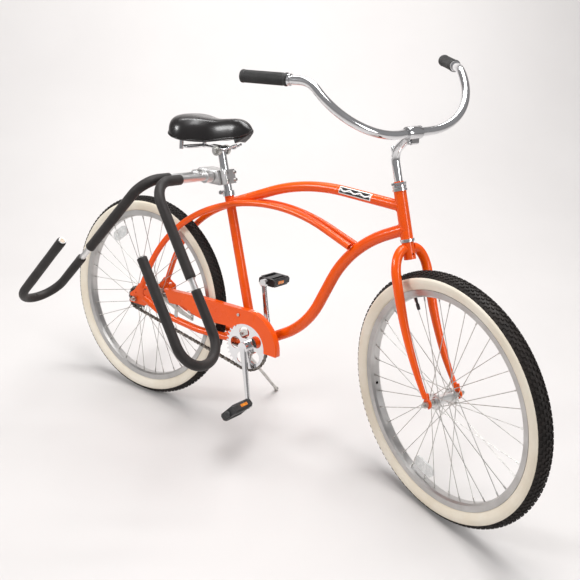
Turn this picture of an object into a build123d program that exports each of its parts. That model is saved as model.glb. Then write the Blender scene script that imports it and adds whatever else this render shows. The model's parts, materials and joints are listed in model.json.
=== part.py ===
from build123d import *
import os
from math import asin, atan2, cos, pi, radians, sin, sqrt

# A single-seat beach cruiser with a surfboard rack on its seat post, standing on its kickstand.
#
# The bicycle is drawn upright and pointing straight ahead: +X forwards, +Y to the rider's left,
# +Z up, with the origin on the floor under the rear axle. At the end of the script the front
# assembly is steered, the whole bicycle is leaned over onto its kickstand, and the pieces are
# written with the origin on the floor under the middle of the whole object. Sizes are in
# millimetres and degrees.

# ---------------------------------------------------------------- driving sizes

# Stance
steer_angle = -21.95      # negative turns the front wheel to the rider's right
lean_angle = 7.23         # the bicycle leans to its left, onto the kickstand

# Wheels, 26 x 2.125
wheel_radius = 333.0
wheelbase = 1078.0
tyre_section = 54.0
tyre_wall = 5.0
rim_flange_overlap = 7.0
rim_depth = 19.5
rim_width = 34.0
rim_wall = 3.0
tube_gap = 0.5
inner_tube_wall = 1.2
valve_radius = 4.0
valve_length = 44.0
spoke_count = 36
spoke_crossing = 55.0     # how far round the rim a spoke leans from its flange hole
spoke_radius = 1.0
nipple_radius = 2.0
nipple_length = 13.0
flange_thickness = 3.0
seat_gap = 0.2            # play between pieces that sit in one another without moving
run_gap = 0.05            # play of a running fit
clear_gap = 0.35          # play between curved faces of pieces that move past each other

# Front end
head_angle = 72.3
fork_offset = 47.3
fork_length = 415.0       # front axle to the bottom of the head tube, along the steering axis
head_tube_length = 123.0
head_tube_radius = 16.0
head_tube_bore = 13.6
steerer_radius = 12.7
fork_blade_spread = 52.0  # each blade's distance from the middle
fork_straight = 150.0     # how far down the blades start to curve forwards
blade_top_radius = 12.5
blade_tip_radius = 7.0
crown_hole_radius = 3.1
crown_hole_drop = 40.0
headset_height = 13.0
quill_radius = 11.1
stem_knee = 98.0          # how far the quill stands out of the head tube before it bends
stem_reach = 80.3         # the bar's distance ahead of the steering axis
stem_rise = 134.4         # the bar's height over the head tube, along the steering axis
stem_clamp_radius = 16.5
stem_clamp_width = 42.0
bar_radius = 11.1
bar_elbow = (25.1, 194.9, -1.6)    # from the middle of the bar, straight ahead
bar_shoulder = (-98.3, 238.1, 129.1)
bar_end = (-255.4, 328.7, 133.7)
bar_middle_bend = 95.0
bar_elbow_bend = 179.0
bar_shoulder_bend = 61.0
bar_wall = 1.8
bar_sleeve_radius = 12.7  # the thicker middle of the bar that the stem clamps
bar_sleeve_width = 46.0
bar_straight = 60.0       # straight middle of the bar
grip_length = 122.0
grip_radius = 16.0
grip_ring_width = 6.0

# Frame tubes
frame_wall = 1.6
top_tube_radius = 14.3
down_tube_radius = 16.0
seat_tube_radius = 14.3
seat_tube_angle = 72.0
seat_tube_top = 737.0
twin_tube_radius = 9.5
chainstay_radius = 11.0
bracket_height = 299.0
bracket_radius = 28.5
bracket_width = 68.0
rear_spacing = 112.0
dropout_thickness = 5.0

# Seat
post_radius = 12.7
post_wall = 2.2
post_foot = 560.0
saddle_clamp_height = 853.0
saddle_length = 283.0
saddle_half_width = 100.0
saddle_nose_x = 383.0
saddle_bottom = 884.0
saddle_thickness = 64.0

# Board rack
rack_height = 776.0
rack_block_height = 42.0
rack_block_half_width = 23.0
rack_tube_radius = 11.0
rack_hook_radius = 9.3
rack_hook_wall = 1.6
arm_pad_radius = 15.0
hook_pad_radius = 14.0
rack_side = -273.0        # how far out the legs hang
rack_bend = 62.0
cradle_width = 143.0      # between the two legs of a hook, middle to middle
cradle_return = 245.0     # straight length of a hook's outer leg
hook_drop = 198.0         # from the top of a hook's pad to the bottom of its bend
arms = {
    # name: (x of the arm's level part, tilt of its leg from straight down,
    #        padded drop of the arm, bare length that shows, where the pad starts)
    "front": (266.0, 34.0, 284.0, 33.0, -165.0),
    "rear": (229.0, -42.1, 319.0, 52.0, -172.0),
}

# Drive
chain_pitch = 12.7
chain_links = 100
ring_teeth = 36
cog_teeth = 18
chain_line = 47.0
sprocket_thickness = 2.6
roller_radius = 4.0
chain_plate_height = 8.6
chain_inner_width = 3.6
chain_outer_width = 8.6
crank_length = 170.0
crank_angle = 15.7        # the right arm points down and this much forwards
spindle_radius = 11.0
pedal_length = 80.0
pedal_depth = 60.0
pedal_thickness = 24.0
right_pedal_tilt = 48.0
guard_plane = 55.0
guard_radius = 114.0
guard_thickness = 1.4
guard_lip = 20.0

# Kickstand
kick_pivot = Vector(420, 24, 238)
kick_foot_guess = Vector(371, 268, 34)   # the leg points at this, and ends on the floor
kick_rod_radius = 5.0
kick_foot_radius = 8.0

# ---------------------------------------------------------------- what follows from them

tyre_centre = wheel_radius - tyre_section / 2
rim_outer = wheel_radius - tyre_section + rim_flange_overlap
rim_inner = rim_outer - rim_depth
rear_axle = Vector(0, 0, wheel_radius)
front_axle = Vector(wheelbase, 0, wheel_radius)

head_up = Vector(-cos(radians(head_angle)), 0, sin(radians(head_angle)))
head_forward = Vector(sin(radians(head_angle)), 0, cos(radians(head_angle)))
head_foot = front_axle - head_forward * fork_offset + head_up * fork_length
head = Plane(origin=head_foot, x_dir=head_forward, z_dir=head_up)
head_axis = Axis(head_foot, head_up)
head_top = head_foot + head_up * head_tube_length
bar_middle = head_foot + head_up * (head_tube_length + stem_rise) + head_forward * stem_reach

ring_pitch_radius = chain_pitch / (2 * sin(pi / ring_teeth))
cog_pitch_radius = chain_pitch / (2 * sin(pi / cog_teeth))
spare_links = chain_links - (ring_teeth + cog_teeth) / 2
tooth_term = ((ring_teeth - cog_teeth) / (2 * pi)) ** 2
chain_centres = chain_pitch / 4 * (spare_links + sqrt(spare_links ** 2 - 8 * tooth_term))
bracket_x = sqrt(chain_centres ** 2 - (wheel_radius - bracket_height) ** 2)
bracket = Vector(bracket_x, 0, bracket_height)

seat_up = Vector(-cos(radians(seat_tube_angle)), 0, sin(radians(seat_tube_angle)))
seat_foot_offset = -7.5   # the seat tube's line passes this far behind the crank's axis


def seat_point(height):
    """The point on the seat tube's line at a height over the floor."""
    foot = bracket + Vector(seat_foot_offset, 0, 0)
    return foot + seat_up * ((height - foot.Z) / seat_up.Z)


pieces = []


def keep(name, part, steered=False):
    """Name a finished piece and keep it for writing; a steered one turns with the fork."""
    if steered:
        part = part.rotate(head_axis, steer_angle)
    part.label = name
    pieces.append(part)


def rod(start, end, radius, bore=0.0):
    """A straight round bar or tube from one point to another."""
    start = Vector(start)
    end = Vector(end)
    with BuildPart(mode=Mode.PRIVATE) as bar:
        with BuildSketch(Plane(origin=start, z_dir=end - start)):
            Circle(radius)
            if bore:
                Circle(bore, mode=Mode.SUBTRACT)
        extrude(amount=(end - start).length)
    return bar.part


def bent_tube(points, bends, radius, bore=0.0):
    """A round bar or tube along straight runs joined by arcs."""
    with BuildPart(mode=Mode.PRIVATE) as tube:
        with BuildLine() as route:
            FilletPolyline(*points, radius=bends)
        with BuildSketch(Plane(origin=route.line @ 0, z_dir=route.line % 0)):
            Circle(radius)
            if bore:
                Circle(bore, mode=Mode.SUBTRACT)
        sweep()
    return tube.part


def trimmed(part, *cutters):
    """The piece with other solids cut away, keeping its largest solid."""
    with BuildPart(mode=Mode.PRIVATE) as cut:
        add(part)
        for cutter in cutters:
            add(cutter, mode=Mode.SUBTRACT)
    return cut.part.solids().sort_by(SortBy.VOLUME)[-1]


def along(point, direction, distance):
    """The point a distance along a direction."""
    return Vector(point) + Vector(direction).normalized() * distance


# ---------------------------------------------------------------- frame

# The cutters keep the ends of the welded tubes out of the bores that hold moving pieces.
weld = 1.0
head_cutter = rod(head_foot - head_up * 40, head_top + head_up * 40, head_tube_radius - weld)
seat_cutter = rod(seat_point(bracket_height + 30), seat_point(900), seat_tube_radius - weld)
bracket_cutter = rod(bracket - Vector(0, 60, 0), bracket + Vector(0, 60, 0), bracket_radius - 1.5)

keep("head_tube", rod(head_foot, head_top, head_tube_radius, head_tube_bore))

with BuildPart() as bottom_bracket_shell:
    with BuildSketch(Plane.XZ.offset(-bracket_width / 2)):
        with Locations((bracket_x, bracket_height)):
            Circle(bracket_radius)
            Circle(bracket_radius - 3, mode=Mode.SUBTRACT)
    extrude(amount=bracket_width)
keep("bottom_bracket_shell", bottom_bracket_shell.part)

seat_tube = rod(seat_point(bracket_height + 10), seat_point(seat_tube_top), seat_tube_radius,
                post_radius + run_gap)
keep("seat_tube", trimmed(seat_tube, bracket_cutter))

# The top tube climbs from the seat tube and levels out in one long bend before the head tube.
top_tube_seat = seat_point(703)
top_tube_head = head_foot + head_up * 83
top_tube_bend = Vector(583.6, 0, 810.2)
top_tube = bent_tube([top_tube_seat, top_tube_bend, top_tube_head], [560.0],
                     top_tube_radius, top_tube_radius - frame_wall)
keep("top_tube", trimmed(top_tube, head_cutter, seat_cutter))

# The down tube is an S: back from the head, steeply down, then back again to the bracket.
down_tube_head = head_foot + head_up * 26 + head_forward * 5
down_tube_points = [down_tube_head, Vector(744.5, 0, 662.8), Vector(634.5, 0, 402), bracket]
down_tube = bent_tube(down_tube_points, [315.0, 255.0], down_tube_radius,
                      down_tube_radius - frame_wall)
keep("down_tube", trimmed(down_tube, head_cutter, bracket_cutter))


def mirrored_pair(make):
    """One part with the right and the left copy of a piece."""
    right = make(-1)
    left = make(1)
    with BuildPart(mode=Mode.PRIVATE) as pair:
        add(right)
        add(left)
    return pair.part


dropout_inner = rear_spacing / 2
dropout_middle = dropout_inner + dropout_thickness / 2


def twin_tube(side):
    """From a dropout up past the seat tube and down again to the down tube."""
    beside_seat = seat_tube_radius + twin_tube_radius - 0.6
    points = [
        (26, side * (dropout_middle + 1), wheel_radius + 46),
        (110, side * 46.5, wheel_radius + 274),
        (470, side * (beside_seat - 13), 767),
        (752, side * 17.5, 662),
    ]
    tube = bent_tube(points, [420.0, 515.0], twin_tube_radius, twin_tube_radius - frame_wall)
    return trimmed(tube, seat_cutter)


keep("twin_tubes", mirrored_pair(twin_tube))


def stay_route(side):
    """The chainstay's corners, from a dropout forwards to the bottom bracket."""
    return [
        Vector(44, side * (dropout_middle + 2.5), wheel_radius + 13),
        Vector(112, side * 53, wheel_radius - 21),
        Vector(270, side * 44.5, bracket_height - 3),
        Vector(bracket_x, side * 14, bracket_height),
    ]


def chainstay(side):
    tube = bent_tube(stay_route(side), [150.0, 300.0], chainstay_radius,
                     chainstay_radius - frame_wall)
    return trimmed(tube, bracket_cutter)


def stay_at(x, side):
    """The middle of the chainstay's straight stretch at a distance ahead of the axle."""
    low, high = stay_route(side)[1:3]
    return low + (high - low) * ((x - low.X) / (high.X - low.X))


with BuildPart() as chainstays:
    add(mirrored_pair(chainstay))
    # the bridge in front of the wheel
    add(rod((wheel_radius + 20, -36, bracket_height), (wheel_radius + 20, 36, bracket_height), 7.0))
keep("chainstays", chainstays.part)


def dropout(side):
    """A flat plate with a slot for the axle, open to the rear, and a small eyelet."""
    inner_face = side * dropout_inner
    with BuildPart() as plate:
        with BuildSketch(Plane.XZ.offset(-inner_face)):
            with BuildLine():
                Polyline(
                    (-24, wheel_radius - 16), (-24, wheel_radius + 14), (-4, wheel_radius + 30),
                    (14, wheel_radius + 56), (38, wheel_radius + 56), (66, wheel_radius + 42),
                    (72, wheel_radius + 2), (44, wheel_radius - 14), (-24, wheel_radius - 16),
                )
            make_face()
            fillet(vertices(), 5)
            with Locations((-15, wheel_radius)):
                SlotCenterToCenter(30, 10.4, mode=Mode.SUBTRACT)
            with Locations((-30, wheel_radius)):
                Rectangle(30, 10.4, mode=Mode.SUBTRACT)
            with Locations((eyelet_x, eyelet_z)):
                Circle(eyelet_radius, mode=Mode.SUBTRACT)
            # the crescent window behind the stays' ends
            with Locations((47, wheel_radius + 31)):
                with BuildSketch(mode=Mode.PRIVATE) as crescent:
                    Circle(14)
                    Circle(10.5, mode=Mode.SUBTRACT)
                    with Locations((14, 2)):
                        Rectangle(20, 24, mode=Mode.SUBTRACT)
                add(crescent.sketch, mode=Mode.SUBTRACT)
        extrude(amount=-side * dropout_thickness)
    return plate.part


eyelet_x = 2.0
eyelet_z = wheel_radius + 22.0
eyelet_radius = 2.6
keep("rear_dropouts", mirrored_pair(dropout))

# ---------------------------------------------------------------- wheels


def wheel_spin(profile_points):
    """A ring about the Y axis from a closed profile of (radius, sideways) points."""
    with BuildPart() as ring:
        with BuildSketch(Plane.XY):
            with BuildLine():
                Polyline(*profile_points, profile_points[0])
            make_face()
        revolve(axis=Axis.Y)
    return ring.part


bead_half_width = rim_width / 2 - rim_wall + 0.4
bead_foot = rim_outer - 5


def tyre():
    """The tyre's casing: a round section, open towards the rim, with a bead on each side."""
    with BuildPart() as casing:
        with BuildSketch(Plane.XY):
            with Locations((tyre_centre, 0)):
                Circle(tyre_section / 2)
            with Locations((rim_outer + seat_gap, 0)):
                Rectangle(60, 80, align=(Align.MAX, Align.CENTER), mode=Mode.SUBTRACT)
            with Locations((bead_foot, 0)):
                Rectangle(8, 2 * bead_half_width, align=(Align.MIN, Align.CENTER))
            with Locations((tyre_centre, 0)):
                Circle(tyre_section / 2 - tyre_wall, mode=Mode.SUBTRACT)
            with Locations((bead_foot - 2, 0)):
                Rectangle(8, 2 * bead_half_width - 9, align=(Align.MIN, Align.CENTER),
                          mode=Mode.SUBTRACT)
        revolve(axis=Axis.Y)
    return casing.part


def inner_tube(valve_at):
    """A hollow ring of rubber with its valve, which points at the hub.

    The ring has a hair-wide seam along its inside, hidden in the rim.
    """
    outer = tyre_section / 2 - tyre_wall - tube_gap
    with BuildPart() as tube:
        with BuildSketch(Plane.XY):
            with Locations((tyre_centre, 0)):
                Circle(outer)
                Circle(outer - inner_tube_wall, mode=Mode.SUBTRACT)
                Rectangle(outer + 2, 1, align=(Align.MAX, Align.CENTER), mode=Mode.SUBTRACT)
        revolve(axis=Axis.Y)
    towards = Vector(cos(radians(valve_at)), 0, sin(radians(valve_at)))
    valve_root = tyre_centre - outer + inner_tube_wall / 2
    stem = rod(towards * valve_root, towards * (valve_root - valve_length), valve_radius)
    cap = rod(towards * (valve_root - valve_length + 10),
              towards * (valve_root - valve_length - 2), valve_radius + 0.8)
    with BuildPart() as with_valve:
        add(tube.part)
        add(stem)
        add(cap)
    return with_valve.part


def rim(valve_at):
    """A single-wall rim with a flange on each side and a hole for the valve."""
    half = rim_width / 2
    bed = rim_inner + rim_wall
    profile = [
        (rim_outer, half), (rim_outer, half - 2), (rim_outer - 13, half - rim_wall - 0.5),
        (bed, half - 9), (bed, 9 - half), (rim_outer - 13, rim_wall + 0.5 - half),
        (rim_outer, 2 - half), (rim_outer, -half), (rim_outer - 15, 1.5 - half),
        (rim_inner, 8 - half), (rim_inner, half - 8), (rim_outer - 15, half - 1.5),
    ]
    towards = Vector(cos(radians(valve_at)), 0, sin(radians(valve_at)))
    hole = rod(towards * (rim_inner - 5), towards * (bed + 5), valve_radius + clear_gap)
    return trimmed(wheel_spin(profile), hole)


def spokes(flange_radius, flange_sides):
    """All the spokes with their nipples: four lacing patterns repeated round the wheel."""
    repeats = spoke_count // 4
    step = 360 / spoke_count
    with BuildPart() as one_group:
        for place in range(4):
            side = flange_sides[place % 2]
            lean = spoke_crossing if place < 2 else -spoke_crossing
            outside = 1 if place < 2 else -1
            face = side + (1 if side > 0 else -1) * outside * (flange_thickness / 2 + spoke_radius)
            rim_at = radians(place * step)
            hub_at = radians(place * step + lean)
            foot = Vector(flange_radius * cos(hub_at), face, flange_radius * sin(hub_at))
            top_radius = rim_inner + 1.2
            top_side = 3.0 if side > 0 else -3.0
            top = Vector(top_radius * cos(rim_at), top_side, top_radius * sin(rim_at))
            add(rod(foot, top, spoke_radius))
            add(rod(along(top, foot - top, nipple_length), top, nipple_radius))
    with BuildPart() as laced:
        for turn in range(repeats):
            add(one_group.part.rotate(Axis.Y, turn * 360 / repeats))
    return laced.part


def hub(half_width, barrel_radius, bore_radius, flange_radius, flange_sides):
    """A hub shell with two drilled flanges and a bore right through."""
    with BuildPart() as shell:
        with BuildSketch(Plane.XZ.offset(-half_width)):
            Circle(barrel_radius)
        extrude(amount=2 * half_width)
        for side in flange_sides:
            with BuildSketch(Plane.XZ.offset(-side - flange_thickness / 2)):
                Circle(flange_radius + 4)
                with PolarLocations(flange_radius, spoke_count // 2):
                    Circle(spoke_radius + 0.4, mode=Mode.SUBTRACT)
            extrude(amount=flange_thickness)
        with BuildSketch(Plane.XZ.offset(-half_width - 1)):
            Circle(bore_radius)
        extrude(amount=2 * half_width + 2, mode=Mode.SUBTRACT)
    return shell.part


def hex_nut(y_from, y_to, across, bore_radius):
    """A six-sided nut on the Y axis between two sideways places."""
    with BuildPart() as nut:
        with BuildSketch(Plane.XZ.offset(-y_from)):
            RegularPolygon(across / 2, 6, major_radius=False)
            Circle(bore_radius, mode=Mode.SUBTRACT)
        extrude(amount=y_from - y_to)
    return nut.part


def together(*parts):
    """Several separate solids as one part."""
    with BuildPart(mode=Mode.PRIVATE) as group:
        for part in parts:
            add(part)
    return group.part


def reflector(at):
    """A flat lens clipped between the spokes, about the middle of the wheel's plane."""
    middle = rim_inner - 34.0
    with BuildPart() as lens:
        with BuildSketch(Plane.XZ.offset(-3)):
            with Locations(Location((middle * cos(radians(at)), middle * sin(radians(at))), at + 90)):
                SlotOverall(72, 34)
        extrude(amount=6)
    return lens.part


def at_axle(part, axle):
    return part.moved(Location(axle))


front_valve_at = 195.0
rear_valve_at = -42.0
front_reflector_at = 258.0
rear_reflector_at = 128.0

# Front wheel
front_flanges = (28.0, -28.0)
front_hub_half = 34.0
front_axle_radius = 4.75
fork_tip_inner = fork_blade_spread - 2.5
for name, part in (
    ("front_tyre", tyre()),
    ("front_inner_tube", inner_tube(front_valve_at)),
    ("front_rim", rim(front_valve_at)),
    ("front_spokes", spokes(18.0, front_flanges)),
    ("front_hub", hub(front_hub_half, 13.0, 8.0, 18.0, front_flanges)),
    ("front_reflector", reflector(front_reflector_at)),
):
    keep(name, at_axle(part, front_axle), steered=True)

front_axle_parts = together(
    rod((0, -70, 0), (0, 70, 0), front_axle_radius),
    rod((0, -fork_tip_inner, 0), (0, -front_hub_half + 8, 0), 8.0 - clear_gap, front_axle_radius),
    rod((0, fork_tip_inner, 0), (0, front_hub_half - 8, 0), 8.0 - clear_gap, front_axle_radius),
    hex_nut(fork_tip_inner + 5, fork_tip_inner + 14, 15, front_axle_radius),
    hex_nut(-fork_tip_inner - 14, -fork_tip_inner - 5, 15, front_axle_radius),
)
keep("front_axle", at_axle(front_axle_parts, front_axle), steered=True)

# Rear wheel, with a back-pedal brake hub
rear_flanges = (32.0, -28.0)
rear_hub_half = 36.0
rear_axle_radius = 5.0
driver_radius = 13.0
for name, part in (
    ("rear_tyre", tyre()),
    ("rear_inner_tube", inner_tube(rear_valve_at)),
    ("rear_rim", rim(rear_valve_at)),
    ("rear_spokes", spokes(28.0, rear_flanges)),
    ("rear_hub", hub(rear_hub_half, 20.0, driver_radius + clear_gap, 28.0, rear_flanges)),
    ("rear_reflector", reflector(rear_reflector_at)),
):
    keep(name, at_axle(part, rear_axle))

rear_axle_parts = together(
    rod((0, -78, 0), (0, 78, 0), rear_axle_radius),
    rod((0, 20, 0), (0, dropout_inner - 4, 0), driver_radius, rear_axle_radius),
    hex_nut(dropout_inner + dropout_thickness, dropout_inner + dropout_thickness + 9, 16,
            rear_axle_radius),
    hex_nut(-dropout_inner - dropout_thickness - 9, -dropout_inner - dropout_thickness, 16,
            rear_axle_radius),
    hex_nut(-dropout_inner, -dropout_inner + 4, 16, rear_axle_radius),
)
keep("rear_axle", at_axle(rear_axle_parts, rear_axle))

# ---------------------------------------------------------------- fork and headset


def down_head(drop, forward=0.0, sideways=0.0):
    """A point measured down the steering axis from the foot of the head tube."""
    return head_foot - head_up * drop + head_forward * forward + Vector(0, sideways, 0)


blade_curve_length = fork_length - fork_straight
blade_curve_radius = (blade_curve_length ** 2 + fork_offset ** 2) / (2 * fork_offset)
crown_top_drop = 9.0
shoulder_drop = 95.0
blade_root = 13.0
blade_start = 24.0


def blade_point(drop, side):
    """The middle of a blade: out in a quarter ellipse, straight down, then curved forwards."""
    if drop < shoulder_drop:
        share = (shoulder_drop - drop) / (shoulder_drop - blade_start)
        out = blade_root + (fork_blade_spread - blade_root) * sqrt(max(0.0, 1 - share ** 2))
    else:
        out = fork_blade_spread
    forward = 0.0
    if drop > fork_straight:
        forward = blade_curve_radius - sqrt(blade_curve_radius ** 2 - (drop - fork_straight) ** 2)
    return down_head(drop, forward, side * out)


def fork_blade(side):
    """A tapered round blade with a flat slotted tip for the axle."""
    stations = [blade_start, 28, 36, 48, 67, 95, 150, 210, 270, 330, fork_length - 14]
    with BuildPart() as blade:
        for number, drop in enumerate(stations):
            middle = blade_point(drop, side)
            ahead = blade_point(drop + 1, side) - blade_point(drop - 1, side)
            share = max(0.0, (drop - fork_straight) / blade_curve_length)
            radius = blade_top_radius + (blade_tip_radius - blade_top_radius) * share
            with BuildSketch(Plane(origin=middle, x_dir=(0, 1, 0), z_dir=ahead)
                             if number > 4 else Plane(origin=middle, z_dir=ahead,
                                                      x_dir=head_forward)):
                Circle(radius)
        loft()
    with BuildPart() as tip:
        with BuildSketch(Plane.XZ.offset(-side * fork_tip_inner)):
            with Locations((wheelbase, wheel_radius)):
                Circle(13)
            with Locations((wheelbase - 5, wheel_radius + 14)):
                Rectangle(16, 26, rotation=18)
            with Locations((wheelbase, wheel_radius)):
                SlotCenterToCenter(0.1, 2 * front_axle_radius + 0.5, mode=Mode.SUBTRACT)
            with Locations((wheelbase, wheel_radius - 10)):
                Rectangle(2 * front_axle_radius + 0.5, 20, mode=Mode.SUBTRACT)
        extrude(amount=-side * 5)
    with BuildPart() as whole:
        add(blade.part)
        add(tip.part)
    return whole.part


keep("fork_blades", mirrored_pair(fork_blade), steered=True)

with BuildPart() as fork_crown:
    add(rod(down_head(crown_top_drop + 44), down_head(crown_top_drop), 15.5))
    add(rod(down_head(crown_top_drop), down_head(-head_tube_length - 24), steerer_radius,
            quill_radius + run_gap))
crown_hole_start = down_head(crown_hole_drop, -20)
crown_hole_end = down_head(crown_hole_drop, 20)
crown_hole = rod(crown_hole_start, crown_hole_end, crown_hole_radius)
quill_bore = rod(down_head(12), down_head(-10), quill_radius + run_gap)
keep("fork_crown", trimmed(fork_crown.part, crown_hole, quill_bore), steered=True)

cup_radius = head_tube_radius + 3.0
with BuildPart(head) as headset_cups:
    for height in (-headset_height / 2 + 1, head_tube_length):
        with BuildSketch(head.offset(height)):
            Circle(cup_radius)
            Circle(steerer_radius + 1.6, mode=Mode.SUBTRACT)
        extrude(amount=headset_height / 2 - 1)
keep("headset_cups", headset_cups.part)

with BuildPart() as headset_bearings:
    for height in (-headset_height / 2 - 1.6, head_tube_length + headset_height / 2 - 0.6):
        with BuildSketch(head.offset(height)):
            Circle(cup_radius - 2)
            Circle(steerer_radius + 0.6, mode=Mode.SUBTRACT)
        extrude(amount=2.2)
keep("headset_bearings", headset_bearings.part)

with BuildPart() as headset_locknut:
    with BuildSketch(head.offset(head_tube_length + headset_height / 2 + 2)):
        Circle(cup_radius - 1)
        Circle(steerer_radius, mode=Mode.SUBTRACT)
    extrude(amount=6)
    with BuildSketch(head.offset(head_tube_length + headset_height / 2 + 9)):
        RegularPolygon(cup_radius - 2.5, 6, major_radius=False)
        Circle(steerer_radius, mode=Mode.SUBTRACT)
    extrude(amount=6)
keep("headset_locknut", headset_locknut.part, steered=True)

# ---------------------------------------------------------------- stem, bar and grips

stem_knee_point = down_head(-head_tube_length - stem_knee)
stem_foot = down_head(-head_tube_length + 60)
with BuildPart() as stem_body:
    add(bent_tube([stem_foot, stem_knee_point, bar_middle], [42.0], quill_radius))
    add(rod(bar_middle - Vector(0, stem_clamp_width / 2, 0),
            bar_middle + Vector(0, stem_clamp_width / 2, 0), stem_clamp_radius))
    with BuildSketch(Plane.XZ.offset(-11)):
        with Locations((bar_middle.X + 3, bar_middle.Z - 20)):
            Rectangle(15, 16)
        fillet(vertices().group_by(Axis.Y)[0], 5)
    extrude(amount=22)
bar_bore = rod(bar_middle - Vector(0, 60, 0), bar_middle + Vector(0, 60, 0),
               bar_sleeve_radius + run_gap)
clamp_bolt = together(
    rod(bar_middle + Vector(3, -17, -21), bar_middle + Vector(3, 15, -21), 3.5),
    rod(bar_middle + Vector(3, -17, -21), bar_middle + Vector(3, -12, -21), 5.5),
)
expander_bolt = rod(along(stem_knee_point, stem_knee_point - stem_foot, -22),
                    along(stem_knee_point, stem_knee_point - stem_foot, 16), 6.5)
keep("stem", together(trimmed(stem_body.part, bar_bore), clamp_bolt, expander_bolt), steered=True)


def bar_route(side):
    return [bar_middle + Vector(p[0], side * p[1], p[2]) for p in (bar_elbow, bar_shoulder, bar_end)]


left_bar = bar_route(1)
right_bar = bar_route(-1)
bar_half = Vector(0, bar_straight / 2, 0)
bar_points = [*reversed(right_bar), bar_middle - bar_half, bar_middle + bar_half, *left_bar]
bar_bends = [bar_shoulder_bend, bar_elbow_bend, bar_middle_bend,
             bar_middle_bend, bar_elbow_bend, bar_shoulder_bend]
with BuildPart() as handlebar:
    add(bent_tube(bar_points, bar_bends, bar_radius, bar_radius - bar_wall))
    add(rod(bar_middle - Vector(0, bar_sleeve_width / 2, 0),
            bar_middle + Vector(0, bar_sleeve_width / 2, 0), bar_sleeve_radius, bar_radius - 0.7))
    # a polished ring at the inner end of each grip
    for route in (left_bar, right_bar):
        ring_at = along(route[2], route[1] - route[2], grip_length + 2)
        add(rod(ring_at, along(ring_at, route[1] - route[2], grip_ring_width),
                bar_radius + 3.4, bar_radius - 0.7))
keep("handlebar", handlebar.part, steered=True)

for name, route in (("grip_left", left_bar), ("grip_right", right_bar)):
    inwards = route[1] - route[2]
    sleeve = rod(route[2], along(route[2], inwards, grip_length), grip_radius,
                 bar_radius + seat_gap)
    end_cap = rod(along(route[2], inwards, -5), along(route[2], inwards, -0.2), grip_radius)
    keep(name, together(sleeve, end_cap), steered=True)

# ---------------------------------------------------------------- seat post and saddle

with BuildPart() as seat_collar:
    add(rod(seat_point(seat_tube_top - 14), seat_point(seat_tube_top), seat_tube_radius + 3.5,
            seat_tube_radius))
    collar_middle = seat_point(seat_tube_top - 7)
    with BuildSketch(Plane.XY.offset(collar_middle.Z - 6)):
        with Locations((collar_middle.X - seat_tube_radius - 7, 0)):
            Rectangle(13, 15)
            Rectangle(13, 3, mode=Mode.SUBTRACT)
    extrude(amount=12)
collar_bolt_at = collar_middle - Vector(seat_tube_radius + 8, 0, 0)
with BuildPart() as collar_with_bolt:
    add(trimmed(seat_collar.part, rod(seat_point(600), seat_point(800), seat_tube_radius)))
    add(rod(collar_bolt_at - Vector(0, 13, 0), collar_bolt_at + Vector(0, 13, 0), 3.0))
    for side in (-1, 1):
        add(rod(collar_bolt_at + Vector(0, side * 7.5, 0), collar_bolt_at + Vector(0, side * 13, 0),
                6.0))
keep("seat_collar", collar_with_bolt.part)

clamp_middle = seat_point(saddle_clamp_height)
post_head_radius = 11.0
tilt_bolt_radius = 4.0
with BuildPart() as seatpost:
    add(rod(seat_point(post_foot), clamp_middle, post_radius, post_radius - post_wall))
    add(rod(clamp_middle - Vector(0, 15, 0), clamp_middle + Vector(0, 15, 0), post_head_radius))
keep("seatpost", trimmed(seatpost.part, rod(clamp_middle - Vector(0, 30, 0),
                                            clamp_middle + Vector(0, 30, 0),
                                            tilt_bolt_radius + run_gap)))

rail_drop = 8.0
rail_radius = 3.5
rail_spread = 21.0
rail_height = clamp_middle.Z + rail_drop
with BuildPart() as saddle_clamp:
    for side in (-1, 1):
        add(rod(clamp_middle + Vector(0, side * 16, 0), clamp_middle + Vector(0, side * 26, 0), 15.0))
        add(rod(clamp_middle + Vector(0, side * 26, 0), clamp_middle + Vector(0, side * 33, 0), 7.5))
    add(rod(clamp_middle - Vector(0, 31, 0), clamp_middle + Vector(0, 31, 0), tilt_bolt_radius))
keep("saddle_clamp", saddle_clamp.part)

saddle_tail_x = saddle_nose_x - saddle_length
base_thickness = 7.0
base_bottom = saddle_bottom - base_thickness


def saddle_rail(side):
    """One wire: from under the nose, level through the clamp, to the sprung rear corner."""
    points = [
        (saddle_nose_x - 45, side * 9, base_bottom + 1),
        (saddle_nose_x - 78, side * rail_spread, rail_height),
        (clamp_middle.X - 48, side * rail_spread, rail_height),
        (saddle_tail_x + 84, side * 46, rail_height - 9),
        (saddle_tail_x + 60, side * 52, rail_height - 8),
    ]
    return bent_tube(points, [18.0, 14.0, 14.0], rail_radius)


with BuildPart() as saddle_rails:
    add(mirrored_pair(saddle_rail))
    for side in (-1, 1):
        post = Vector(saddle_tail_x + 60, side * 52, 0)
        add(rod(post + Vector(0, 0, rail_height - 16), post + Vector(0, 0, base_bottom + 1), 6.5))
    add(rod((saddle_tail_x + 60, -52, rail_height - 8), (saddle_tail_x + 60, 52, rail_height - 8),
            rail_radius))
keep("saddle_rails", saddle_rails.part)


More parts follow.
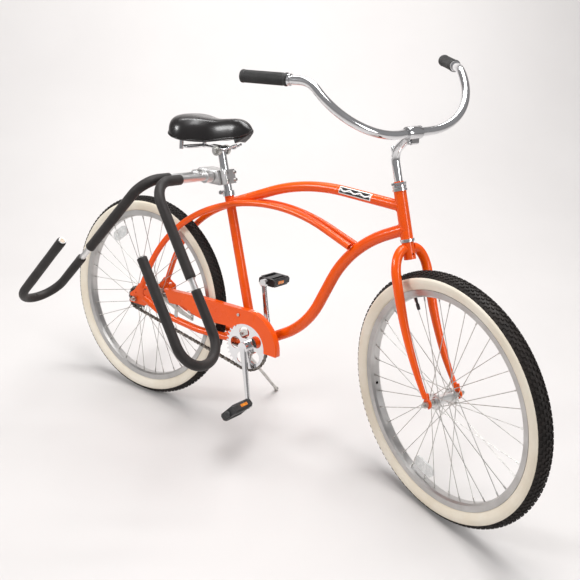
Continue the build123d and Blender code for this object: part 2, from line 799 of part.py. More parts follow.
def saddle_outline(inset):
    """The saddle from above: a broad tail that narrows to the nose."""
    wide = saddle_half_width - inset
    with BuildSketch() as outline:
        with BuildLine():
            Polyline(
                (saddle_tail_x + inset, -0.62 * wide), (saddle_tail_x + 34, -wide),
                (saddle_tail_x + 92, -wide), (saddle_tail_x + 178, -0.42 * wide),
                (saddle_nose_x - inset, -0.27 * wide), (saddle_nose_x - inset, 0.27 * wide),
                (saddle_tail_x + 178, 0.42 * wide), (saddle_tail_x + 92, wide),
                (saddle_tail_x + 34, wide), (saddle_tail_x + inset, 0.62 * wide),
                (saddle_tail_x + inset, -0.62 * wide),
            )
        make_face()
        fillet(vertices(), 19)
    return outline.sketch


with BuildPart() as saddle_base:
    with BuildSketch(Plane.XY.offset(base_bottom)):
        add(saddle_outline(8))
    extrude(amount=base_thickness)
keep("saddle_base", saddle_base.part)

with BuildPart() as saddle_cushion:
    with BuildSketch(Plane.XY.offset(saddle_bottom)):
        add(saddle_outline(0))
    extrude(amount=saddle_thickness)
    fillet(saddle_cushion.edges().group_by(Axis.Z)[-1], 16)
keep("saddle_cushion", saddle_cushion.part)

# ---------------------------------------------------------------- board rack

rack_post_point = seat_point(rack_height)
post_plane = Plane(origin=rack_post_point, x_dir=Vector(seat_up.Z, 0, -seat_up.X), z_dir=seat_up)
post_bore = rod(seat_point(rack_height - 60), seat_point(rack_height + 60), post_radius + run_gap)
block_rear_x = arms["rear"][0] - 19.0
block_side = -34.0
cap_depth = 19.0

with BuildPart() as rack_clamp_rear:
    with BuildSketch(Plane.XZ.offset(-rack_block_half_width)):
        low = rack_height - rack_block_height / 2
        high = rack_height + rack_block_height / 2
        with BuildLine():
            Polyline((block_rear_x, low), (seat_point(low).X - 1.2, low),
                     (seat_point(high).X - 1.2, high), (block_rear_x, high), (block_rear_x, low))
        make_face()
        rear_corners = vertices().group_by(Axis.X)[0]
        fillet(rear_corners, 16)
    extrude(amount=rack_block_half_width - block_side)
    for arm_x in (arms["front"][0], arms["rear"][0]):
        add(rod((arm_x, -60, rack_height), (arm_x, 60, rack_height), rack_tube_radius + run_gap),
            mode=Mode.SUBTRACT)
    add(post_bore, mode=Mode.SUBTRACT)
keep("rack_clamp_rear", trimmed(rack_clamp_rear.part, post_bore))

with BuildPart() as rack_clamp_front:
    with BuildSketch(post_plane.offset(-rack_block_height / 2)):
        with Locations((1.2, 0)):
            Rectangle(cap_depth, 2 * rack_block_half_width, align=(Align.MIN, Align.CENTER))
        fillet(vertices().group_by(Axis.X)[-1], 5)
    extrude(amount=rack_block_height)
    add(post_bore, mode=Mode.SUBTRACT)
keep("rack_clamp_front", rack_clamp_front.part)

with BuildPart() as rack_clamp_bolts:
    for side in (-1, 1):
        for height in (-11, 11):
            middle = rack_post_point + seat_up * height + Vector(0, side * 18.2, 0)
            forward = Vector(seat_up.Z, 0, -seat_up.X)
            add(rod(middle - forward * 8, middle + forward * (cap_depth + 1.2), 2.4))
            add(rod(middle + forward * (cap_depth + 1.2), middle + forward * (cap_depth + 5), 4.4))
keep("rack_clamp_bolts", rack_clamp_bolts.part)

collar_from = block_side - 2
collar_width = 26.0


def leg_direction(tilt):
    return Vector(sin(radians(tilt)), 0, -cos(radians(tilt)))


def rack_arm(arm_x, tilt, padded_drop, bare, pad_start):
    """The arm tube with its locking collar, the arm's pad, the hook tube and the hook's pad."""
    start = Vector(arm_x, rack_block_half_width, rack_height)
    corner = Vector(arm_x, rack_side, rack_height)
    leg = leg_direction(tilt)
    tube = bent_tube([start, corner, corner + leg * (padded_drop + 4)], [rack_bend],
                     rack_tube_radius, rack_hook_radius + run_gap)
    collar = rod((arm_x, collar_from, rack_height), (arm_x, collar_from - collar_width, rack_height),
                 rack_tube_radius + 6.5, rack_tube_radius)
    arm = together(tube, collar)
    pad = bent_tube([Vector(arm_x, pad_start, rack_height), corner, corner + leg * padded_drop],
                    [rack_bend], arm_pad_radius, rack_tube_radius + seat_gap)

    bottom = padded_drop + bare + hook_drop
    cradle_radius = cradle_width / 2 - 0.5
    inside = corner + leg * (padded_drop - 120)
    outer = Vector(0, -cradle_width, 0)
    hook_end = corner + outer + leg * (bottom - cradle_width / 2 - cradle_return)
    hook = bent_tube([inside, corner + leg * bottom, corner + outer + leg * bottom, hook_end],
                     [cradle_radius, cradle_radius], rack_hook_radius,
                     rack_hook_radius - rack_hook_wall)
    plug = rod(hook_end, along(hook_end, leg, -2.5), rack_hook_radius + 1)
    pad_top = corner + leg * (padded_drop + bare)
    hook_pad = bent_tube([pad_top, corner + leg * bottom, corner + outer + leg * bottom,
                          along(hook_end, leg, 1)],
                         [cradle_radius, cradle_radius], hook_pad_radius,
                         rack_hook_radius + seat_gap)
    return arm, pad, together(hook, plug), hook_pad


for name, sizes in arms.items():
    arm, arm_pad, hook, hook_pad = rack_arm(*sizes)
    keep(f"rack_arm_{name}", arm)
    keep(f"rack_arm_{name}_pad", arm_pad)
    keep(f"rack_hook_{name}", hook)
    keep(f"rack_hook_{name}_pad", hook_pad)

# ---------------------------------------------------------------- crank, chain and guard

with BuildPart() as bottom_bracket_cups:
    for side in (-1, 1):
        cup_face = side * bracket_width / 2
        add(rod(bracket + Vector(0, cup_face - side * 12, 0), bracket + Vector(0, cup_face, 0),
                bracket_radius - 3 - 0.02, spindle_radius + clear_gap))
        add(rod(bracket + Vector(0, cup_face, 0), bracket + Vector(0, cup_face + side * 2.5, 0),
                bracket_radius - 1, spindle_radius + clear_gap))
keep("bottom_bracket_cups", bottom_bracket_cups.part)


def sprocket_profile(teeth, pitch_radius):
    """A toothed disc: a full circle to the teeth's tips with a round seat for each roller."""
    with BuildSketch() as profile:
        Circle(pitch_radius + 3.4)
        with PolarLocations(pitch_radius, teeth, start_angle=180 / teeth):
            Circle(roller_radius + 0.3, mode=Mode.SUBTRACT)
        with PolarLocations(pitch_radius + 4.6, teeth, start_angle=180 / teeth):
            Circle(roller_radius + 1.0, mode=Mode.SUBTRACT)
    return profile.sketch


crank_down = Vector(sin(radians(crank_angle)), 0, -cos(radians(crank_angle)))
arm_root_side = 62.0
arm_tip_side = 76.0
pedal_spindle_radius = 5.0
pedal_inner = arm_tip_side + 14.0


def crank_arm(side):
    """One forged arm: thick and wide at the spindle, slim at the pedal's end."""
    root = bracket + Vector(0, side * arm_root_side, 0)
    tip = bracket + Vector(0, side * arm_tip_side, 0) - crank_down * (side * crank_length)
    reach = tip - root
    with BuildPart() as arm:
        for share, width, thickness in ((0.0, 25, 13), (0.35, 18, 12.5), (1.0, 16, 11.5)):
            with BuildSketch(Plane(origin=root + reach * share, x_dir=(0, 1, 0), z_dir=reach)):
                RectangleRounded(thickness, width, 4.5)
        loft()
        add(rod(root - Vector(0, side * 13.6, 0), root + Vector(0, side * 6.5, 0), 16.0))
        add(rod(tip - Vector(0, side * 6.5, 0), tip + Vector(0, side * 6.5, 0), 12.0))
    return arm.part


right_crank_arm = crank_arm(-1)
left_crank_arm = crank_arm(1)
with BuildPart() as crank:
    add(right_crank_arm)
    add(left_crank_arm)
    add(rod(bracket - Vector(0, arm_root_side, 0), bracket + Vector(0, arm_root_side, 0),
            spindle_radius))
crank_group = [crank.part]
pedal_points = {}
for side, name in ((-1, "right"), (1, "left")):
    tip = bracket + Vector(0, side * arm_tip_side, 0) - crank_down * (side * crank_length)
    pedal_points[name] = tip
    outer_end = tip + Vector(0, side * (14 + pedal_length + 5), 0)
    crank_group.append(rod(tip + Vector(0, side * 6.5, 0), outer_end, pedal_spindle_radius))
    crank_group.append(rod(outer_end - Vector(0, side * 4.8, 0), outer_end + Vector(0, side * 1, 0),
                           8.0, pedal_spindle_radius))
keep("crank", together(*crank_group))

with BuildPart() as chainring:
    with BuildSketch(Plane.XZ):
        add(sprocket_profile(ring_teeth, ring_pitch_radius))
        with PolarLocations(ring_pitch_radius * 0.57, 5, start_angle=-90 + crank_angle + 36):
            Circle(18.5, mode=Mode.SUBTRACT)
        Circle(spindle_radius + seat_gap, mode=Mode.SUBTRACT)
    extrude(amount=sprocket_thickness / 2, both=True)
keep("chainring", chainring.part.moved(Location(bracket + Vector(0, -chain_line, 0))))

with BuildPart() as rear_cog:
    with BuildSketch(Plane.XZ):
        add(sprocket_profile(cog_teeth, cog_pitch_radius))
        Circle(rear_axle_radius + clear_gap, mode=Mode.SUBTRACT)
    extrude(amount=sprocket_thickness / 2, both=True)
    with BuildSketch(Plane.XZ.offset(-18)):
        Circle(driver_radius)
        Circle(rear_axle_radius + clear_gap, mode=Mode.SUBTRACT)
    extrude(amount=20)
keep("rear_cog", rear_cog.part.moved(Location(rear_axle + Vector(0, -chain_line, 0))))


def chain_face(offset):
    """The band between the chain's outline and itself, offset from the pitch line."""
    between = bracket - rear_axle
    slope = atan2(between.Z, between.X)
    spread = asin((ring_pitch_radius - cog_pitch_radius) / between.length)
    with BuildSketch() as face:
        corners = []
        for turn in (pi / 2 + spread, -pi / 2 - spread):
            direction = (cos(slope + turn), sin(slope + turn))
            corners.append([
                (rear_axle.X + (cog_pitch_radius + offset) * direction[0],
                 rear_axle.Z + (cog_pitch_radius + offset) * direction[1]),
                (bracket.X + (ring_pitch_radius + offset) * direction[0],
                 bracket.Z + (ring_pitch_radius + offset) * direction[1]),
            ])
        with BuildLine():
            Polyline(corners[0][0], corners[0][1], corners[1][1], corners[1][0], corners[0][0])
        make_face()
        with Locations((rear_axle.X, rear_axle.Z)):
            Circle(cog_pitch_radius + offset)
        with Locations((bracket.X, bracket.Z)):
            Circle(ring_pitch_radius + offset)
    return face.sketch


with BuildPart() as chain:
    plate = (chain_outer_width - chain_inner_width) / 2
    for start in (chain_line - chain_outer_width / 2, chain_line + chain_inner_width / 2):
        with BuildSketch(Plane.XZ.offset(start)):
            add(chain_face(chain_plate_height / 2))
            add(chain_face(-chain_plate_height / 2), mode=Mode.SUBTRACT)
        extrude(amount=plate)
keep("chain", chain.part)

guard_tail = (rear_axle.X + 121, wheel_radius + 62)
guard_foot = (rear_axle.X + 148, wheel_radius + 22)
guard_inner = guard_radius - 44
guard_top = bracket_height + guard_radius
guard_nose_drop = 4.0


def guard_upper(shrink):
    """The guard's upper edge, moved inwards by a distance."""
    return [
        (guard_tail[0], guard_tail[1] - shrink),
        (guard_tail[0] + 150, guard_top - 7 - shrink),
        (bracket_x - 24, guard_top - 2 - shrink),
        (bracket_x, guard_top - shrink),
    ]


with BuildSketch() as guard_face:
    with BuildLine():
        Polyline(
            *guard_upper(0), (bracket_x, bracket_height), (bracket_x - 60, bracket_height + 48),
            (bracket_x - 118, bracket_height + 43), (guard_foot[0] + 132, wheel_radius + 6),
            (guard_foot[0] + 58, wheel_radius + 26), guard_foot, guard_tail,
        )
    make_face()
    with BuildLine():
        Line((bracket_x, bracket_height), (bracket_x, guard_top))
        RadiusArc((bracket_x, guard_top), (bracket_x + guard_radius, bracket_height), guard_radius)
        Line((bracket_x + guard_radius, bracket_height), (bracket_x, bracket_height))
    make_face()
    with Locations((bracket_x, bracket_height)):
        Circle(guard_inner, mode=Mode.SUBTRACT)
        Rectangle(200, 200, align=(Align.CENTER, Align.MAX), mode=Mode.SUBTRACT)

with BuildSketch() as guard_rim:
    with BuildLine():
        Polyline(*guard_upper(0), *reversed(guard_upper(guard_thickness)), guard_tail)
    make_face()
    with BuildLine():
        Line((bracket_x, guard_top - guard_thickness), (bracket_x, guard_top))
        RadiusArc((bracket_x, guard_top), (bracket_x + guard_radius, bracket_height), guard_radius)
        Line((bracket_x + guard_radius, bracket_height),
             (bracket_x + guard_radius - guard_thickness, bracket_height))
        RadiusArc((bracket_x + guard_radius - guard_thickness, bracket_height),
                  (bracket_x, guard_top - guard_thickness), guard_thickness - guard_radius)
    make_face()

with BuildPart() as chain_guard:
    with BuildSketch(Plane.XZ.offset(guard_plane)):
        add(guard_face.sketch)
    extrude(amount=guard_thickness)
    with BuildSketch(Plane.XZ.offset(guard_plane - guard_lip)):
        add(guard_rim.sketch)
    extrude(amount=guard_lip)
keep("chain_guard", chain_guard.part)

# ---------------------------------------------------------------- pedals


def pedal(name, side, tilt):
    """A moulded pedal body: two end plates, front and rear bars and a barrel for the spindle."""
    tip = pedal_points[name]
    inner_face = tip.Y + side * 14
    outer_face = inner_face + side * pedal_length
    turned = Plane(origin=(tip.X, 0, tip.Z), x_dir=Vector(cos(radians(tilt)), 0, sin(radians(tilt))),
                   z_dir=(0, -1, 0))
    with BuildPart() as body:
        with BuildSketch(turned.offset(-inner_face)):
            with BuildLine():
                half_depth = pedal_depth / 2
                half_thick = pedal_thickness / 2
                Polyline((-half_depth, -half_thick + 5), (-half_depth + 6, -half_thick),
                         (half_depth - 6, -half_thick), (half_depth, -half_thick + 5),
                         (half_depth, half_thick - 5), (half_depth - 6, half_thick),
                         (-half_depth + 6, half_thick), (-half_depth, half_thick - 5),
                         (-half_depth, -half_thick + 5))
            make_face()
        extrude(amount=-side * pedal_length)
        for place in (-1, 1):
            window_middle = place * (pedal_depth / 2 - 6 + 9.5) / 2
            with BuildSketch(turned.offset(-(inner_face + side * 9))):
                with Locations((window_middle, 0)):
                    Rectangle(pedal_depth / 2 - 6 - 9.5, pedal_thickness + 2)
            extrude(amount=-side * (pedal_length - 18), mode=Mode.SUBTRACT)
        with BuildSketch(turned.offset(-(inner_face - side * 1))):
            Circle(pedal_spindle_radius + run_gap)
        extrude(amount=-side * (pedal_length + 2), mode=Mode.SUBTRACT)
    return body.part


keep("pedal_right", pedal("right", -1, right_pedal_tilt))
keep("pedal_left", pedal("left", 1, 0.0))

# ---------------------------------------------------------------- small fasteners and the brake arm

guard_stay_x = 178.0
guard_screw_height = wheel_radius + 21
guard_screw_radius = 2.5
front_screw = (bracket_x - 32, bracket_height + 93)
stay_side = -guard_plane + 0.1
stay_low = stay_at(guard_stay_x, -1)
with BuildPart() as frame_bolts:
    # the rear screw with its strip down to the chainstay, and the front screw with its spacer
    for x, z, depth in ((guard_stay_x, guard_screw_height, 6), (*front_screw, 12)):
        add(rod((x, -guard_plane - guard_thickness - 3.5, z), (x, -guard_plane - guard_thickness, z),
                4.5))
        add(rod((x, -guard_plane - guard_thickness, z), (x, -guard_plane + depth, z),
                guard_screw_radius))
    with BuildSketch(Plane.XZ.offset(-stay_side)):
        with Locations((guard_stay_x, (guard_screw_height + stay_low.Z) / 2)):
            SlotOverall(guard_screw_height - stay_low.Z + 16, 12, rotation=90)
        with Locations((guard_stay_x, guard_screw_height)):
            Circle(guard_screw_radius, mode=Mode.SUBTRACT)
    extrude(amount=-2.5)
keep("frame_bolts", frame_bolts.part)

brake_arm_side = dropout_inner - 4
strap_x = 150.0
with BuildPart() as brake_arm:
    with BuildSketch(Plane.XZ.offset(-brake_arm_side)):
        with BuildLine():
            Polyline((-14, wheel_radius - 12), (-14, wheel_radius + 12), (12, wheel_radius + 10),
                     (strap_x - 38, wheel_radius - 37), (strap_x + 8, wheel_radius - 49),
                     (strap_x + 8, wheel_radius - 62), (strap_x - 50, wheel_radius - 50),
                     (-14, wheel_radius - 12))
        make_face()
        fillet(vertices(), 4)
        with Locations((0, wheel_radius)):
            Circle(rear_axle_radius + seat_gap, mode=Mode.SUBTRACT)
    extrude(amount=-3)
strap_screw_height = wheel_radius - 55
with BuildPart() as strap:
    add(rod(stay_at(strap_x - 6, 1), stay_at(strap_x + 6, 1), chainstay_radius + 1.8,
            chainstay_radius))
    with BuildSketch(Plane.XZ.offset(-brake_arm_side - 3)):
        with Locations((strap_x, (strap_screw_height + stay_at(strap_x, 1).Z - 11) / 2)):
            SlotOverall(stay_at(strap_x, 1).Z - strap_screw_height, 12, rotation=90)
    extrude(amount=-2.2)
    add(rod((strap_x, brake_arm_side - 3, strap_screw_height),
            (strap_x, brake_arm_side + 8, strap_screw_height), 4.2))
stay_core = rod(stay_at(strap_x - 20, 1), stay_at(strap_x + 20, 1), chainstay_radius)
strap = trimmed(strap.part, stay_core)
keep("coaster_brake_arm", together(brake_arm.part, strap))

# ---------------------------------------------------------------- kickstand

kick_rest = (kick_foot_guess - kick_pivot).normalized()
kick_folded = Vector(-0.985, 0.12, -0.02).normalized()
swing_normal = kick_rest.cross(kick_folded).normalized()
swing_middle = (kick_rest + kick_folded).normalized()
kick_hinge = (swing_normal * 0.87 + swing_middle * 0.493).normalized()
kick_housing_radius = 10.0
kick_pin_radius = 4.0
plate_x = kick_pivot.X - 16
with BuildPart() as kickstand_plate:
    for low in (chainstay_radius - 2, -chainstay_radius - 7):
        with BuildSketch(Plane.XY.offset(bracket_height + low)):
            with Locations((plate_x, 0)):
                RectangleRounded(38, 70, 6)
        extrude(amount=5)
    add(rod((plate_x, 0, bracket_height - 22), (plate_x, 0, bracket_height + 18), 5.0))
    add(rod((plate_x, -14, bracket_height - 15), kick_pivot - kick_hinge * 20, 7.0))
    add(rod(kick_pivot - kick_hinge * 27, kick_pivot - kick_hinge * 9, kick_housing_radius + 2))
kick_pin_hole = rod(kick_pivot - kick_hinge * 40, kick_pivot + kick_hinge * 30,
                    kick_pin_radius + run_gap)
keep("kickstand_plate", trimmed(kickstand_plate.part, kick_pin_hole))

# ---------------------------------------------------------------- standing the bicycle on the floor

wheel_side = Vector(0, 1, 0)


def steered(vector):
    """A direction after the front assembly has been turned."""
    return Vector(vector).rotate(Axis((0, 0, 0), head_up), steer_angle)


steered_axle = head_foot + steered(front_axle - head_foot)
steered_side = steered(wheel_side)


def drop_of(centre, side, up):
    """How far a tyre reaches below the origin along the direction up."""
    return tyre_centre * sqrt(1 - side.dot(up) ** 2) + tyre_section / 2 - centre.dot(up)


# The nose of the bicycle sinks a little when the wheel is steered: the pitch that puts both
# tyres on the floor is found in a few rounds.
pitch = 0.0
for _ in range(6):
    up = Vector(sin(pitch) * cos(radians(lean_angle)), -sin(radians(lean_angle)),
                cos(pitch) * cos(radians(lean_angle)))
    gap = drop_of(rear_axle, wheel_side, up) - drop_of(steered_axle, steered_side, up)
    pitch -= gap / wheelbase
floor_drop = drop_of(rear_axle, wheel_side, up)

# The leg of the kickstand is as long as it takes for its foot to reach the floor.
kick_height = kick_pivot.dot(up) + floor_drop
kick_length = (kick_height - kick_foot_radius) / -kick_rest.dot(up)
kick_foot = kick_pivot + kick_rest * kick_length
with BuildPart() as kickstand_leg:
    add(rod(kick_pivot - kick_hinge * 8.5, kick_pivot + kick_hinge * 7, kick_housing_radius))
    add(rod(kick_pivot - kick_hinge * 27, kick_pivot + kick_hinge * 9, kick_pin_radius))
    add(rod(kick_pivot, kick_foot, kick_rod_radius))
    with Locations(kick_foot):
        Sphere(kick_foot_radius)
keep("kickstand_leg", kickstand_leg.part)

forward = Vector(1, 0, 0) - up * up.X
floor_below_axle = Plane(origin=up * -floor_drop, x_dir=forward, z_dir=up)
standing = [floor_below_axle.to_local_coords(piece) for piece in pieces]
extent = Compound(children=standing).bounding_box()
middle = floor_below_axle.from_local_coords(Vector((extent.min.X + extent.max.X) / 2,
                                                   (extent.min.Y + extent.max.Y) / 2, 0))
floor = Plane(origin=middle, x_dir=forward, z_dir=up)

os.makedirs("parts", exist_ok=True)
for piece in pieces:
    placed = floor.to_local_coords(piece)
    placed.label = piece.label
    export_step(placed, f"parts/{piece.label}.step")
print(len(pieces), "pieces written")
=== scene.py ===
# %% [markdown]
# # A beach cruiser with a surfboard rack
#
# The bicycle leans on its kickstand with the front wheel turned to its right. Its hard parts
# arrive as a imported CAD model, and nothing here moves them. This lesson gives them their
# finishes, builds what CAD leaves plain - tyres, chain, saddle, foam, grips - and lights it all
# as in a small studio.

# %% Load the frame
import json
import math
import random

import bmesh
import bpy
from mathutils import Matrix, Vector


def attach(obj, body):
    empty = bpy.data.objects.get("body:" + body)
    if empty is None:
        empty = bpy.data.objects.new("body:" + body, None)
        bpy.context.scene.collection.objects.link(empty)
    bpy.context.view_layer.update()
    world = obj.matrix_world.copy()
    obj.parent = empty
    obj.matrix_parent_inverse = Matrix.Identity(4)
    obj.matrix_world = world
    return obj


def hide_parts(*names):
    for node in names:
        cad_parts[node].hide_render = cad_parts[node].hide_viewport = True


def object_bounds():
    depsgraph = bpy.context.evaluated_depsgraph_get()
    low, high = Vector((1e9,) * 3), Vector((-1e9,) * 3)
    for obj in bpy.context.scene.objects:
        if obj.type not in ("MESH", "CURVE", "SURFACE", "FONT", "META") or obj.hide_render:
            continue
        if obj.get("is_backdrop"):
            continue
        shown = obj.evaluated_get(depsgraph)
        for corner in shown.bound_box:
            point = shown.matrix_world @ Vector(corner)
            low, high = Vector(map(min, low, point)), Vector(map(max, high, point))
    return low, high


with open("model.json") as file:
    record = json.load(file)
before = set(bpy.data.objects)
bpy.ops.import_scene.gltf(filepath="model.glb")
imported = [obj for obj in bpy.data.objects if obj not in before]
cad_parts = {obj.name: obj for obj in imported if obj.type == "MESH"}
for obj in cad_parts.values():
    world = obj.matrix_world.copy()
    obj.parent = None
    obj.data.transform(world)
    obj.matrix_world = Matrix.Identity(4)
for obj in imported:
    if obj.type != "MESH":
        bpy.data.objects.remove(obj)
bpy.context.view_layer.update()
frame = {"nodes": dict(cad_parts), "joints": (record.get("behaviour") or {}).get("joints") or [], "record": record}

nodes = frame["nodes"]

# %% [markdown]
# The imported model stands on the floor, leaning. Most sizes of a bicycle are easier to think of
# on an upright one, so two helpers turn upright sizes in millimetres into places in the model:
# one for the frame, one for whatever turns with the fork. Both are worked out from the joints.

# %% Places on the bicycle
MM = 0.001
WHEEL_RADIUS = 333.0
HEAD_ANGLE = math.radians(72.3)
joints = {joint["name"]: joint for joint in frame["joints"]}
rear_axle = Vector(joints["rear_wheel_spin"]["pos_m"])
front_axle = Vector(joints["front_wheel_spin"]["pos_m"])
head_point = Vector(joints["steering"]["pos_m"])
bracket = Vector(joints["crank_spin"]["pos_m"])
left = Vector(joints["rear_wheel_spin"]["axis"]).normalized()
front_left = Vector(joints["front_wheel_spin"]["axis"]).normalized()
head_up = Vector(joints["steering"]["axis"]).normalized()
upright = head_up * math.sin(HEAD_ANGLE) - head_up.cross(left) * math.cos(HEAD_ANGLE)
ahead = left.cross(upright)
floor_mark = rear_axle - upright * WHEEL_RADIUS * MM
steer = math.atan2(left.cross(front_left).dot(head_up), left.dot(front_left))
turn_fork = (Matrix.Translation(head_point) @ Matrix.Rotation(steer, 4, head_up)
             @ Matrix.Translation(-head_point))
bike = Matrix((ahead, left, upright)).transposed().to_4x4()
bike.translation = floor_mark


def on_frame(x, y, z):
    """A point given ahead of the rear axle, to the left and above the floor, in millimetres."""
    return bike @ (Vector((x, y, z)) * MM)


def on_fork(x, y, z):
    """The same for a point drawn with the wheel straight, then turned with the fork."""
    return turn_fork @ on_frame(x, y, z)


print("steered by", round(math.degrees(steer), 2), "degrees")

# %% [markdown]
# ## Camera
#
# A long lens from the front right, a little above the saddle and tilted by a few degrees. The
# small shift keeps the bicycle a little left of the middle of the picture.

# %% Camera
CAMERA_AT = (1796, -1832, 1147)
AZIMUTH, ELEVATION, ROLL = (math.radians(a) for a in (37.39, 16.11, 4.58))
look = Vector((-math.sin(AZIMUTH) * math.cos(ELEVATION), math.cos(AZIMUTH) * math.cos(ELEVATION),
               -math.sin(ELEVATION)))
right = Vector((math.cos(AZIMUTH), math.sin(AZIMUTH), 0))
up = right.cross(look)
right, up = (right * math.cos(ROLL) + up * math.sin(ROLL),
             up * math.cos(ROLL) - right * math.sin(ROLL))
turned = Matrix((right, up, -look)).transposed().to_4x4()
camera_data = bpy.data.cameras.new("studio_camera")
camera_data.sensor_width = 36
camera_data.lens = 799 / 580 * 36
camera_data.shift_x = 0.0793
camera_data.shift_y = -0.0174
camera = bpy.data.objects.new("studio_camera", camera_data)
bpy.context.scene.collection.objects.link(camera)
camera.matrix_world = bike.to_3x3().to_4x4() @ turned
camera.matrix_world.translation = on_frame(*CAMERA_AT)
look_on_floor = bike.to_3x3() @ look
bpy.context.scene.camera = camera
print("camera:", camera.name, "lens", round(camera_data.lens, 1), "mm")

# %% [markdown]
# ## Shared effects
#
# Real surfaces are never one value all over. Four small node groups hold the effects that many
# finishes share: a fine grain, soft smudges, worn edges and settled dust. Each finish places
# them with its own numbers, so one change here improves every material.

# %% Node helpers


def new_group(name, inputs, outputs):
    """An empty shader group with named float inputs and outputs."""
    group = bpy.data.node_groups.new(name, "ShaderNodeTree")
    for label, value in inputs:
        socket = group.interface.new_socket(label, in_out="INPUT", socket_type="NodeSocketFloat")
        socket.default_value = value
    for label in outputs:
        group.interface.new_socket(label, in_out="OUTPUT", socket_type="NodeSocketFloat")
    return group, group.nodes.new("NodeGroupInput"), group.nodes.new("NodeGroupOutput")


def add_node(tree, kind, **values):
    """A node with its settings and unlinked inputs filled in."""
    node = tree.nodes.new(kind)
    for key, value in values.items():
        if hasattr(node, key):
            setattr(node, key, value)
        else:
            node.inputs[key.replace("_", " ")].default_value = value
    return node


def noise(tree, scale, detail=3.0, roughness=0.55):
    """Noise over the object's own space, so it stays put when the piece moves."""
    place = tree.nodes.new("ShaderNodeTexCoord")
    texture = add_node(tree, "ShaderNodeTexNoise")
    texture.inputs["Detail"].default_value = detail
    texture.inputs["Roughness"].default_value = roughness
    tree.links.new(place.outputs["Object"], texture.inputs["Vector"])
    if isinstance(scale, (int, float)):
        texture.inputs["Scale"].default_value = scale
    else:
        tree.links.new(scale, texture.inputs["Scale"])
    return texture.outputs["Fac"]


def spread(tree, value, low, high, to_low=0.0, to_high=1.0):
    """Stretches the stretch low to high of a value over a new range."""
    node = tree.nodes.new("ShaderNodeMapRange")
    ends = {"From Min": low, "From Max": high, "To Min": to_low, "To Max": to_high}
    for name, number in ends.items():
        if isinstance(number, (int, float)):
            node.inputs[name].default_value = number
        else:
            tree.links.new(number, node.inputs[name])
    tree.links.new(value, node.inputs["Value"])
    return node.outputs["Result"]


def combine(tree, operation, first, second):
    """A Math node with two inputs, each a number or a socket."""
    node = tree.nodes.new("ShaderNodeMath")
    node.operation = operation
    for slot, value in zip(node.inputs, (first, second)):
        if isinstance(value, (int, float)):
            slot.default_value = value
        else:
            tree.links.new(value, slot)
    return node.outputs[0]


# %% The four effects
grain_group, start, end = new_group("Fine grain", [("Scale", 900.0)], ["Grain"])
grain_group.links.new(noise(grain_group, start.outputs["Scale"], 4.0), end.inputs["Grain"])

smudge_group, start, end = new_group("Soft smudges", [("Scale", 14.0), ("Low", 0.2), ("High", 0.4)],
                                     ["Roughness"])
cloud = noise(smudge_group, start.outputs["Scale"], 5.0, 0.62)
smudge_group.links.new(
    spread(smudge_group, cloud, 0.35, 0.68, start.outputs["Low"], start.outputs["High"]),
    end.inputs["Roughness"])

wear_group, start, end = new_group("Worn edges", [("Amount", 0.5), ("Scale", 120.0)], ["Wear"])
shape = wear_group.nodes.new("ShaderNodeNewGeometry")
edge = spread(wear_group, shape.outputs["Pointiness"], 0.52, 0.6)
patchy = spread(wear_group, noise(wear_group, start.outputs["Scale"], 4.0), 0.42, 0.6)
worn = combine(wear_group, "MULTIPLY", combine(wear_group, "MULTIPLY", edge, patchy),
               start.outputs["Amount"])
wear_group.links.new(worn, end.inputs["Wear"])

dust_group, start, end = new_group("Settled dust", [("Amount", 0.3), ("Scale", 35.0)], ["Dust"])
shape = dust_group.nodes.new("ShaderNodeNewGeometry")
facing = dust_group.nodes.new("ShaderNodeSeparateXYZ")
dust_group.links.new(shape.outputs["Normal"], facing.inputs["Vector"])
level = spread(dust_group, facing.outputs["Z"], 0.2, 1.0)
patchy = spread(dust_group, noise(dust_group, start.outputs["Scale"], 5.0, 0.65), 0.38, 0.7)
dusty = combine(dust_group, "MULTIPLY", combine(dust_group, "MULTIPLY", level, patchy),
                start.outputs["Amount"])
dust_group.links.new(dusty, end.inputs["Dust"])
print("effects:", [g.name for g in bpy.data.node_groups])

# %% [markdown]
# A finish is a Principled shader with the effects placed round it. One helper makes them all:
# it mixes two or three tones by the grain, dust and wear masks, varies the roughness with the
# smudges, and raises a little relief from the grain.

# %% Finish helper


